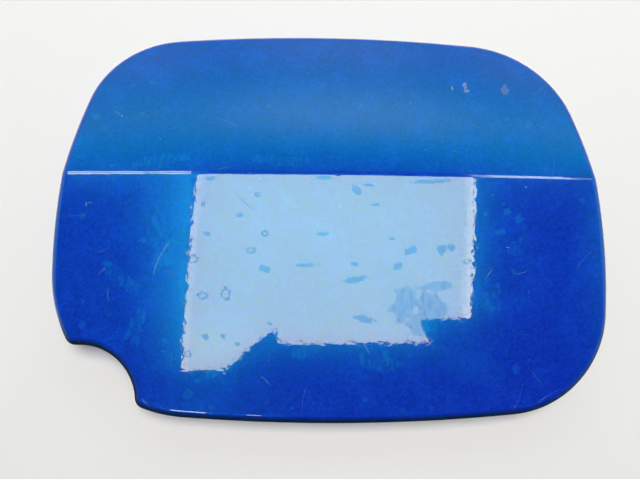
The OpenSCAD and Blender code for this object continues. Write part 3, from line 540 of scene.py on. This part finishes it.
BUFFERS = [f"buffer_{i}" for i in range(1, 5)]
PAD_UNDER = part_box("hinge_arm")[1][2] / MM
inner_paint, tree, shader = finish("inner_paint")
uneven = add(tree, "TexNoise", Vector=object_place(tree, 0.0014, 3.0), Scale=1.0, Detail=3.0)
wide_uneven = add(tree, "TexNoise", Vector=object_place(tree, 0.012, 2.0), Scale=1.0, Detail=3.0)
dry = marks_at(tree, [(-6, 0, 62, 40, 0)], ramp(tree, wide_uneven, 0.2, 0.8, 0.2, 0.8), PAD_UNDER)
spray = add(tree, "TexNoise", Vector=object_place(tree, 0.0005, 5.0), Scale=1.0, Detail=2.0)
thin_paint = maths(tree, "MULTIPLY", dry, ramp(tree, spray, 0.42, 0.62, 0.25, 1.0))
blue = blend_colours(tree, place_group(tree, mottle, Size=0.02, Seed=1.0)["Mask"],
                     (0.004, 0.036, 0.34), (0.006, 0.050, 0.40))
blue = blend_colours(tree, part_of(tree, thin_paint, 0.75), blue, (0.075, 0.105, 0.17))
rubbed = marks_at(tree, rounds_at(BUFFERS, 6.6), uneven, PAD_UNDER, "Ring")
dusty = place_group(tree, dust, Size=0.018, Amount=0.75, Seed=4.0)["Mask"]
short = place_group(tree, scratches, Size=0.013, Length=0.4, Width=0.012, Share=0.35, Seed=3.0)
scored = place_group(tree, scratches, Size=0.022, Length=0.4, Width=0.006, Share=0.35, Seed=8.0)
scored = strongest(tree, scored["Mask"], short["Mask"])
blue = blend_colours(tree, part_of(tree, scored, 0.5), blue, (0.22, 0.25, 0.30))
blue = blend_colours(tree, part_of(tree, rubbed, 0.5), blue, (0.02, 0.02, 0.03))
blue = blend_colours(tree, part_of(tree, dusty, 0.42), blue, (0.24, 0.20, 0.15))
tree.links.new(blue, shader.inputs["Base Color"])
matt = strongest(tree, thin_paint, dusty)
tree.links.new(ramp(tree, matt, 0.0, 1.0, 0.5, 0.85), shader.inputs["Roughness"])
tree.links.new(ramp(tree, matt, 0.0, 1.0, 0.3, 0.0), shader.inputs["Coat Weight"])
height = place_group(tree, grain, Size=0.0012, Fine=0.5, Seed=3.0)["Height"]
bumpy(tree, shader, height, 0.00003)
shader.inputs["Coat Roughness"].default_value = 0.3
dress(inner_paint, "inner_panel")


# The hinge arm and the bracket are pressed from strip steel, 1.8 and 2 mm thick, and zinc plated.
# The arm is curled round the bushes and has two flats on its curl, which the spring rides on.
# The bracket's foot is screwed to the body, and screw heads leave bright rings on it.


def zinc(name, seed, rings, rub):
    """Dull zinc: grey crystals with a straw tint, white bloom, rust specks, and rings and rubs worn
    bright, each given as marks, the height of the face that they lie on and which output they use."""
    material, tree, shader = finish(name)
    uneven = add(tree, "TexNoise", Vector=object_place(tree, 0.0012, seed), Scale=1.0, Detail=3.0)
    crystal = add(tree, "TexVoronoi", Vector=object_place(tree, 0.0016, seed), Scale=1.0)
    crystal = add(tree, "SeparateColor", crystal.node.outputs["Color"])
    grey = blend_colours(tree, crystal, (0.44, 0.44, 0.42), (0.60, 0.60, 0.57))
    straw = place_group(tree, mottle, Size=0.012, Low=0.42, High=0.68, Seed=seed)["Mask"]
    colour = blend_colours(tree, part_of(tree, straw, 0.6), grey, (0.60, 0.52, 0.33))
    bloom = place_group(tree, mottle, Size=0.0045, Low=0.56, High=0.74, Seed=seed + 3)["Mask"]
    grime = place_group(tree, dust, Size=0.014, Amount=0.7, Seed=seed + 5)["Mask"]
    rust = place_group(tree, drops, Size=0.0052, Radius=0.10, Share=0.16, Seed=seed + 7)["Spot"]
    lines = place_group(tree, scratches, Size=0.009, Length=0.42, Width=0.014, Share=0.5, Seed=seed)
    lines = lines["Mask"]
    bright = strongest(tree, *[marks_at(tree, at, uneven, z, out) for at, z, out in rings + rub])
    colour = blend_colours(tree, part_of(tree, bloom, 0.55), colour, (0.66, 0.67, 0.66))
    colour = blend_colours(tree, part_of(tree, grime, 0.7), colour, (0.11, 0.09, 0.07))
    rubbed = part_of(tree, strongest(tree, bright, lines), 0.8)
    colour = blend_colours(tree, rubbed, colour, (0.74, 0.74, 0.72))
    colour = blend_colours(tree, part_of(tree, rust, 0.85), colour, (0.20, 0.065, 0.02))
    tree.links.new(colour, shader.inputs["Base Color"])
    dull = strongest(
        tree, part_of(tree, bloom, 0.5), part_of(tree, grime, 0.8), part_of(tree, rust, 0.9))
    tree.links.new(ramp(tree, dull, 0.0, 1.0, 0.7, 0.0), shader.inputs["Metallic"])
    worn = maths(tree, "SUBTRACT", strongest(tree, dull, 0.25), part_of(tree, bright, 0.12))
    tree.links.new(ramp(tree, worn, 0.0, 1.0, 0.24, 0.85), shader.inputs["Roughness"])
    height = place_group(tree, grain, Size=0.0015, Fine=0.4, Seed=seed)["Height"]
    height = maths(tree, "SUBTRACT", height, part_of(tree, lines, 0.4))
    bumpy(tree, shader, height, 0.000025)
    return material


pin = centre("hinge_pin")
ARM_RIVETS = [f"arm_rivet_{i}" for i in range(1, 5)]
ARM_T = 1.8
ARM_UNDER = PAD_UNDER - ARM_T
arm_zinc = zinc("arm_zinc", 2.0, [(rounds_at(ARM_RIVETS, 4.1), ARM_UNDER, "Ring")],
                [([(pin[0], 0, 4.0, 6.5, 0)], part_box("hinge_arm")[0][2] / MM, "Spot")])
dress(arm_zinc, "hinge_arm")

SCREWS = [(53, 22), (53, -22)]
FOOT_TOP = 2.0
SCREW_HEAD_R, SCREW_RING_R = 5.2, 5.8
bracket_zinc = zinc("bracket_zinc", 11.0,
                    [([(x, y, SCREW_HEAD_R, SCREW_HEAD_R, 0) for x, y in SCREWS], FOOT_TOP, "Spot"),
                     ([(x, y, SCREW_RING_R, SCREW_RING_R, 0) for x, y in SCREWS], 0.0, "Ring")],
                    [([(pin[0] - 2, 0, 5.0, 13.0, 0)], FOOT_TOP, "Spot")])
dress(bracket_zinc, "hinge_bracket")


# The rivets of the arm and of the leaf spring are plain steel, headed in a press. The die leaves each
# head polished on top, with grime in the corner round it.
rivet_steel, tree, shader = finish("rivet_steel")
struck = place_group(tree, mottle, Size=0.0022, Low=0.35, High=0.65, Seed=3.0)["Mask"]
colour = blend_colours(tree, struck, (0.40, 0.40, 0.41), (0.58, 0.58, 0.58))
LEAF_FOOT_TOP = 2.5
HEAD_R = 3.6
SPRING_RIVETS = ["spring_rivet_1", "spring_rivet_2"]
uneven = add(tree, "TexNoise", Vector=object_place(tree, 0.0009, 2.0), Scale=1.0, Detail=3.0)
corner = strongest(tree, marks_at(tree, rounds_at(ARM_RIVETS, HEAD_R), uneven, ARM_UNDER, "Ring"),
                   marks_at(tree, rounds_at(SPRING_RIVETS, HEAD_R), uneven, LEAF_FOOT_TOP, "Ring"))
grime = place_group(tree, dust, Size=0.004, Amount=0.8, Seed=6.0)["Mask"]
dirt = strongest(tree, part_of(tree, corner, 0.9), part_of(tree, grime, 0.7))
nicks = place_group(tree, scratches, Size=0.0028, Length=0.4, Width=0.03, Share=0.5, Seed=1.0)["Mask"]
colour = blend_colours(tree, dirt, colour, (0.10, 0.075, 0.055))
colour = blend_colours(tree, part_of(tree, nicks, 0.6), colour, (0.72, 0.72, 0.72))
tree.links.new(colour, shader.inputs["Base Color"])
tree.links.new(maths(tree, "SUBTRACT", 1.0, part_of(tree, dirt, 0.8)), shader.inputs["Metallic"])
tree.links.new(ramp(tree, strongest(tree, dirt, part_of(tree, struck, 0.3)), 0.0, 1.0, 0.26, 0.8),
               shader.inputs["Roughness"])
height = maths(tree, "SUBTRACT", place_group(tree, grain, Size=0.0009, Fine=0.4, Seed=2.0)["Height"],
               part_of(tree, nicks, 0.5))
bumpy(tree, shader, height, 0.00002)
dress(rivet_steel, *ARM_RIVETS, *SPRING_RIVETS)


# The two bushes are moulded in natural nylon and pressed into the ends of the curl. Grease and black
# wear dust from the pin stain them.
nylon, tree, shader = finish("nylon")
milky = place_group(tree, mottle, Size=0.004, Low=0.3, High=0.7, Seed=1.0)["Mask"]
colour = blend_colours(tree, milky, (0.64, 0.61, 0.52), (0.74, 0.72, 0.64))
stain = place_group(tree, dust, Size=0.005, Amount=0.9, Seed=2.0)["Mask"]
colour = blend_colours(tree, part_of(tree, stain, 0.7), colour, (0.12, 0.10, 0.075))
tree.links.new(colour, shader.inputs["Base Color"])
tree.links.new(ramp(tree, stain, 0.0, 1.0, 0.42, 0.65), shader.inputs["Roughness"])
height = place_group(tree, grain, Size=0.0007, Fine=0.3, Seed=5.0)["Height"]
bumpy(tree, shader, height, 0.00001)
shader.inputs["Subsurface Weight"].default_value = 0.15
shader.inputs["Subsurface Radius"].default_value = (0.0012, 0.001, 0.0008)
dress(nylon, "bush_upper", "bush_lower")


# The hinge pin is ground bar with a head upset on one end and a groove for its clip near the other.
# Fine grinding lines run round it, and old grease darkens it beside the bushes.
bright_steel, tree, shader = finish("bright_steel")
at = tree.nodes.new("ShaderNodeTexCoord").outputs["Object"]
rounds = vectors(tree, "MULTIPLY", at, (300.0, 9000.0, 300.0))
rounds = add(tree, "TexNoise", Vector=rounds, Scale=1.0, Detail=2.0)
colour = blend_colours(tree, ramp(tree, rounds, 0.3, 0.7), (0.50, 0.50, 0.51), (0.68, 0.68, 0.68))
uneven = add(tree, "TexNoise", Vector=object_place(tree, 0.0015, 4.0), Scale=1.0, Detail=3.0)
ends = [(pin[0], s * 15.6, 8.0, 1.6, 0) for s in (-1, 1)]
grease = maths(tree, "MULTIPLY", marks_at(tree, ends, uneven, pin[2]), 0.7)
speckle = place_group(tree, dust, Size=0.006, Amount=0.6, Seed=9.0)["Mask"]
dirt = strongest(tree, grease, part_of(tree, speckle, 0.6))
colour = blend_colours(tree, dirt, colour, (0.06, 0.045, 0.03))
tree.links.new(colour, shader.inputs["Base Color"])
tree.links.new(maths(tree, "SUBTRACT", 1.0, part_of(tree, dirt, 0.7)), shader.inputs["Metallic"])
tree.links.new(ramp(tree, strongest(tree, dirt, part_of(tree, rounds, 0.3)), 0.0, 1.0, 0.16, 0.5),
               shader.inputs["Roughness"])
bumpy(tree, shader, rounds, 0.000006)
dress(bright_steel, "hinge_pin")


# The pin's clip and the leaf spring are stamped from spring strip and blued in the furnace. The leaf
# is rubbed bright under the curl, where the two flats turn over it.
spring_steel, tree, shader = finish("spring_steel")
temper = place_group(tree, mottle, Size=0.009, Low=0.3, High=0.7, Seed=6.0)["Mask"]
colour = blend_colours(tree, temper, (0.060, 0.075, 0.13), (0.13, 0.12, 0.13))
LEAF_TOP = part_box("leaf_spring")[1][2] / MM
uneven = add(tree, "TexNoise", Vector=object_place(tree, 0.0016, 1.0), Scale=1.0, Detail=3.0)
rub = marks_at(tree, [(pin[0], 0, 3.2, 6.4, 0)], uneven, LEAF_TOP)
edges = place_group(tree, scratches, Size=0.006, Length=0.42, Width=0.014, Share=0.5, Seed=4.0)["Mask"]
rusty = place_group(tree, mottle, Size=0.0028, Low=0.6, High=0.75, Seed=9.0)["Mask"]
bright = strongest(tree, part_of(tree, rub, 0.85), part_of(tree, edges, 0.6))
colour = blend_colours(tree, bright, colour, (0.56, 0.56, 0.56))
colour = blend_colours(tree, part_of(tree, rusty, 0.6), colour, (0.16, 0.06, 0.025))
tree.links.new(colour, shader.inputs["Base Color"])
tree.links.new(maths(tree, "SUBTRACT", 1.0, part_of(tree, rusty, 0.7)), shader.inputs["Metallic"])
tree.links.new(ramp(tree, strongest(tree, rusty, part_of(tree, temper, 0.3)), 0.0, 1.0, 0.28, 0.75),
               shader.inputs["Roughness"])
height = place_group(tree, grain, Size=0.0011, Fine=0.3, Seed=8.0)["Height"]
bumpy(tree, shader, height, 0.000015)
dress(spring_steel, "pin_clip", "leaf_spring")


# The four buffers are moulded in black rubber and pulled into holes in the inner panel. They carry
# chalky bloom and the dust of the seat that they land on.
buffer_rubber, tree, shader = finish("buffer_rubber")
bloom = place_group(tree, mottle, Size=0.0035, Low=0.4, High=0.75, Seed=2.0)["Mask"]
colour = blend_colours(tree, bloom, (0.014, 0.014, 0.014), (0.045, 0.044, 0.042))
uneven = add(tree, "TexNoise", Vector=object_place(tree, 0.0012, 1.0), Scale=1.0, Detail=3.0)
printed = marks_at(tree, rounds_at(BUFFERS, 4.4), uneven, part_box("buffer_1")[0][2] / MM)
dusty = place_group(tree, dust, Size=0.005, Amount=0.8, Seed=7.0)["Mask"]
dusty = strongest(tree, part_of(tree, printed, 0.5), dusty)
colour = blend_colours(tree, part_of(tree, dusty, 0.6), colour, (0.20, 0.17, 0.13))
tree.links.new(colour, shader.inputs["Base Color"])
matt = strongest(tree, bloom, dusty)
tree.links.new(ramp(tree, matt, 0.0, 1.0, 0.62, 0.92), shader.inputs["Roughness"])
height = place_group(tree, grain, Size=0.0006, Fine=0.6, Seed=4.0)["Height"]
bumpy(tree, shader, height, 0.00004)
dress(buffer_rubber, *BUFFERS)


# The cap holder is moulded in black plastic with a fine grain, and held by two plastic rivets of the
# same. The cap's grip has scuffed the rim of the cradle grey.
black_plastic, tree, shader = finish("black_plastic")
at = tree.nodes.new("ShaderNodeTexCoord").outputs["Object"]
flow = vectors(tree, "MULTIPLY", at, (500.0, 70.0, 500.0))
flow = add(tree, "TexNoise", Vector=flow, Scale=1.0, Detail=2.0)
colour = blend_colours(tree, ramp(tree, flow, 0.3, 0.7), (0.014, 0.014, 0.015), (0.028, 0.028, 0.030))
scuffed = place_group(tree, scratches, Size=0.005, Length=0.42, Width=0.02, Share=0.7, Seed=2.0)["Mask"]
uneven = add(tree, "TexNoise", Vector=object_place(tree, 0.002, 5.0), Scale=1.0, Detail=3.0)
cradle = centre("cap_holder")
rim_rub = marks_at(tree, [(cradle[0], cradle[1], 11.0, 17.0, 0)], uneven, 0.0, "Ring")
rim_rub = maths(tree, "MULTIPLY", rim_rub, ramp(tree, uneven, 0.35, 0.6))
dusty = place_group(tree, dust, Size=0.010, Amount=0.7, Seed=3.0)["Mask"]
pale = strongest(tree, part_of(tree, scuffed, 0.35), part_of(tree, rim_rub, 0.35))
colour = blend_colours(tree, pale, colour, (0.22, 0.22, 0.22))
colour = blend_colours(tree, part_of(tree, dusty, 0.5), colour, (0.20, 0.17, 0.13))
tree.links.new(colour, shader.inputs["Base Color"])
tree.links.new(ramp(tree, strongest(tree, dusty, pale), 0.0, 1.0, 0.48, 0.8), shader.inputs["Roughness"])
height = place_group(tree, grain, Size=0.0005, Fine=0.5, Seed=1.0)["Height"]
bumpy(tree, shader, height, 0.00003)
dress(black_plastic, "cap_holder", "holder_rivet_1", "holder_rivet_2")


# The lamps: a softbox above, whose picture lies in the lower face, a cool window beyond the upper edge,
# and narrow lamps that only the crease or the rim picks up. Each is a card that either gloss sees, as
# a reflection, or dull surfaces see, as their light.


def card(name, corners, z, strength, colour=(1, 1, 1), seen_by="gloss"):
    """A flat lamp: a polygon of x and y at a height, or of x, y and z with no height. Gives its node
    tree and the socket of its strength."""
    mesh = bpy.data.meshes.new(name)
    mesh.from_pydata([(*c, z) if len(c) == 2 else c for c in corners], [], [list(range(len(corners)))])
    obj = bpy.data.objects.new(name, mesh)
    bpy.context.scene.collection.objects.link(obj)
    m = bpy.data.materials.new(name)
    m.use_nodes = True
    m.node_tree.nodes.clear()
    glow = add(m.node_tree, "Emission", (*colour, 1), strength)
    add(m.node_tree, "OutputMaterial", glow)
    mesh.materials.append(m)
    obj.visible_camera = False
    obj.visible_glossy = seen_by == "gloss"
    obj.visible_diffuse = seen_by == "dull"
    obj.visible_shadow = False
    return m.node_tree, glow.node.inputs["Strength"]


def flat_axes(tree):
    """X and Y on a card or on the table, in metres."""
    at = add(tree, "SeparateXYZ", tree.nodes.new("ShaderNodeTexCoord").outputs["Object"])
    return at, at.node.outputs["Y"]


LAMP_Z = 0.5
SOFTBOX_POWER = 8.0
softbox = [
    (-0.150, 0.1145), (-0.163, 0.113), (-0.171, 0.106), (-0.174, 0.096), (-0.199, -0.230),
    (-0.131, -0.229), (-0.085, -0.184), (-0.056, -0.159), (-0.049, -0.164), (-0.047, -0.179),
    (-0.040, -0.183), (0.193, -0.185), (0.175, -0.145), (0.258, -0.142), (0.265, 0.102),
    (0.259, 0.1145)]
tree, power = card("softbox", softbox, LAMP_Z, SOFTBOX_POWER, (1.02, 0.985, 0.64))
x, y = flat_axes(tree)
right_rim = ramp(tree, maths(tree, "SUBTRACT", x, part_of(tree, y, 0.03)), 0.240, 0.262, 0.0, 0.6)
left_rim = ramp(tree, maths(tree, "SUBTRACT", x, part_of(tree, y, 0.078)), -0.168, -0.179, 0.0, 0.3)
low_rim = ramp(tree, y, -0.12, -0.2, 0.0, 0.1)
top_rim = ramp(tree, y, 0.103, 0.110, 0.0, 0.22)
rims = maths(tree, "ADD", maths(tree, "ADD", right_rim, left_rim), maths(tree, "ADD", low_rim, top_rim))
tree.links.new(maths(tree, "MULTIPLY", maths(tree, "ADD", rims, 1.0), SOFTBOX_POWER), power)

# The key light of the dull surfaces hangs higher than the softbox, towards the window
key = [(-0.30, -0.08), (0.35, -0.08), (0.35, 0.57), (-0.30, 0.57)]
card("key_light", key, 1.2, 11.0, (1, 0.975, 0.93), "dull")

# A dim blue wall to the left of the softbox
wall = [(-0.178, 0.1145), (-0.200, -0.230), (-0.60, -0.26), (-0.60, 0.1165)]
tree, power = card("blue_wall", wall, LAMP_Z, 1.0, (0.10, 1.7, 2.3))
x, y = flat_axes(tree)
near = ramp(tree, x, -0.29, -0.175, 0.09, 1.0)
tree.links.new(maths(tree, "MULTIPLY", near, ramp(tree, y, -0.26, -0.08, 0.3, 1.25)), power)

# Narrow lamps: the crease picks up the strips, the lower rim picks up the two rim lamps
for name, strength, corners in (
        ("left_strip", 10.8, [(-0.182, 0.118), (-0.42, 0.118), (-0.435, 0.176), (-0.186, 0.176)]),
        ("left_strip_upper", 10.8, [(-0.188, 0.208), (-0.442, 0.208), (-0.46, 0.27), (-0.192, 0.27)]),
        ("right_strip", 8.6, [(0.305, 0.125), (0.300, 0.26), (0.455, 0.27), (0.455, 0.132)]),
        ("right_faint", 4.5, [(0.272, 0.118), (0.272, 0.27), (0.300, 0.27), (0.305, 0.118)]),
        ("far_right_faint", 2.0, [(0.456, 0.132), (0.456, 0.25), (0.52, 0.25), (0.52, 0.14)]),
        ("rim_lamp_left", 12.0, [(-0.232, -0.335), (-0.268, -0.48), (-0.190, -0.48), (-0.166, -0.335)]),
        ("rim_lamp_right", 9.0, [(-0.101, -0.335), (-0.115, -0.45), (-0.090, -0.45), (-0.073, -0.335)])):
    card(name, corners, LAMP_Z, strength, (1, 0.88, 0.78))

# Daylight from both sides, which the face picks up only beside its ends
for name, inner, outer in (("left_glow", -0.52, -1.2), ("right_glow", 0.41, 1.2)):
    sides = [(inner, -0.40), (outer, -0.50), (outer, 0.60), (inner, 0.26)]
    tree, power = card(name, sides, LAMP_Z + 0.005, 1.0, (0.15, 1.35, 1.15))
    x, y = flat_axes(tree)
    glow = ramp(tree, x, inner, inner + math.copysign(0.20, inner))
    tree.links.new(maths(tree, "MULTIPLY", glow, ramp(tree, y, -0.22, 0.0, 0.3, 1.0)), power)

# The window's glow comes up from dark, its blue before its white, and fades again above
tree, power = card("window", [(-0.75, 0.275), (0.85, 0.275), (0.85, 1.0), (-0.75, 1.0)], LAMP_Z, 1.0)
x, y = flat_axes(tree)
fade = ramp(tree, y, 0.47, 0.60, 1.0, 0.45)
fade = maths(tree, "ADD", fade, ramp(tree, y, 0.60, 0.74, 0.0, 0.3))
side = ramp(tree, maths(tree, "ABSOLUTE", maths(tree, "SUBTRACT", x, 0.04)), 0.1, 0.7, 1.0, 0.8)
white = maths(tree, "MULTIPLY", ramp(tree, y, 0.36, 0.47, 0.0, 0.80), fade)
aside = maths(tree, "ABSOLUTE", maths(tree, "SUBTRACT", x, 0.07))
white = maths(tree, "MULTIPLY", white, ramp(tree, aside, 0.05, 0.34, 1.0, 0.34))
corners = maths(tree, "MULTIPLY", ramp(tree, aside, 0.20, 0.42, 0.0, 0.28), ramp(tree, y, 0.50, 0.66))
white = maths(tree, "ADD", white, corners)
sky = maths(tree, "MULTIPLY", ramp(tree, y, 0.27, 0.39), ramp(tree, y, 0.42, 0.74, 1.0, 0.46))
green = maths(tree, "ADD", part_of(tree, white, 0.8), part_of(tree, sky, 1.75))
violet = maths(tree, "ADD", part_of(tree, white, 0.3), part_of(tree, sky, 0.7))
hue = add(tree, "CombineColor", white, green, violet)
tree.links.new(hue, power.node.inputs["Color"])
tree.links.new(side, power)

# The window's light on dull surfaces, and a light that shows the underside through the clear table
sky_light = [(-0.8, 0.45), (0.8, 0.45), (0.8, 1.6), (-0.8, 1.6)]
card("window_light", sky_light, LAMP_Z, 0.9, (0.85, 0.98, 1.15), "dull")
under = [(-0.15, -0.15), (0.15, -0.15), (0.15, 0.15), (-0.15, 0.15)]
card("under_light", under, -LAMP_Z, 5.0, (1, 1, 1), "dull")

# A black sheet on the table round the lower edge and the finger notch, seen only in reflections, is
# painted shade:
# the rim that lies low there reflects it in place of the table.
shade = [(-0.090, -0.034), (-0.060, -0.056), (0.070, -0.056), (0.085, -0.050), (0.110, -0.110),
         (0.060, -0.160), (-0.070, -0.160), (-0.130, -0.100), (-0.104, -0.040)]
card("shade", shade, 0.0005, 0.0)

# A dim ceiling behind the lamps, and a room that lights little but is seen as pale as the table
card("ceiling", [(-0.62, -0.6), (0.72, -0.6), (0.72, 1.0), (-0.62, 1.0)], LAMP_Z + 0.01, 0.02)
flag = [(-1.4, -0.6, 0), (1.4, -0.6, 0), (1.4, -0.6, LAMP_Z), (-1.4, -0.6, LAMP_Z)]
card("black_flag", flag, None, 0.0)
world = bpy.data.worlds.new("room")
bpy.context.scene.world = world
world.use_nodes = True
tree = world.node_tree
path = tree.nodes.new("ShaderNodeLightPath").outputs
seen = strongest(tree, path["Is Glossy Ray"], path["Is Transmission Ray"])
pale = blend_colours(tree, seen, (0.07, 0.075, 0.085), (0.50, 0.66, 0.68))
pale = blend_colours(tree, path["Is Camera Ray"], pale, (0.83, 0.83, 0.83))
tree.links.new(pale, tree.nodes["Background"].inputs["Color"])


# The table is a plain matt white board, clear from beneath so that the underside can be looked at.
# Light that it throws back under the door is held down, as the real door lies lower on it than its own
# hinge lets this one stand.
board_mesh = bpy.data.meshes.new("table")
side = 3.0
around = [(-side, -side, 0), (side, -side, 0), (side, side, 0), (-side, side, 0)]
board_mesh.from_pydata(around, [], [(0, 1, 2, 3)])
board = bpy.data.objects.new("table", board_mesh)
bpy.context.scene.collection.objects.link(board)
board_white, tree, shader = finish("board_white")
path = tree.nodes.new("ShaderNodeLightPath").outputs
seen = strongest(tree, path["Is Camera Ray"], path["Is Glossy Ray"], path["Is Transmission Ray"])
x, y = flat_axes(tree)
squares = maths(tree, "ADD", maths(tree, "MULTIPLY", x, x), maths(tree, "MULTIPLY", y, y))
far = ramp(tree, maths(tree, "SQRT", squares), 0.3, 0.8)
pale = blend_colours(tree, far, (0.84, 0.84, 0.835), (0.0, 0.0, 0.0))
tree.links.new(blend_colours(tree, seen, (0.22, 0.22, 0.22), pale), shader.inputs["Base Color"])
far_seen = maths(tree, "MULTIPLY", far, path["Is Camera Ray"])
glow = blend_colours(tree, far_seen, (0.0, 0.0, 0.0), (0.83, 0.83, 0.82))
tree.links.new(glow, shader.inputs["Emission Color"])
shader.inputs["Emission Strength"].default_value = 1.0
below = tree.nodes.new("ShaderNodeNewGeometry").outputs["Backfacing"]
below = strongest(tree, below, path["Is Shadow Ray"])
tree.links.new(maths(tree, "SUBTRACT", 1.0, below), shader.inputs["Alpha"])
shader.inputs["Roughness"].default_value = 0.9
board_mesh.materials.append(board_white)


# The camera hangs over the table at the place and with the turn found by fitting the door's outline
# to the photograph: lens of 475 pixels, tilted 10.45 degrees, panned 3.06 and rolled 0.28.
LENS_PIXELS, PICTURE_PIXELS = 475, 640
SENSOR = 36
tilt, roll, pan = (math.radians(a) for a in (10.45, 0.28, 3.06))
turn_tilt = Matrix.Rotation(tilt, 4, "X")
turn_pan = Matrix.Rotation(-pan, 4, "Y")
turn_roll = Matrix.Rotation(roll, 4, "Z")
camera = bpy.data.objects.new("camera", bpy.data.cameras.new("camera"))
bpy.context.scene.collection.objects.link(camera)
place = Matrix.Translation((-0.01464, -0.03864, 0.17461))
camera.matrix_world = place @ turn_tilt @ turn_pan @ turn_roll
camera.data.sensor_width = SENSOR
camera.data.lens = LENS_PIXELS / PICTURE_PIXELS * SENSOR
camera.data.clip_start = 0.005
camera.data.dof.use_dof = False
bpy.context.scene.camera = camera
bpy.context.scene.view_settings.view_transform = "Standard"
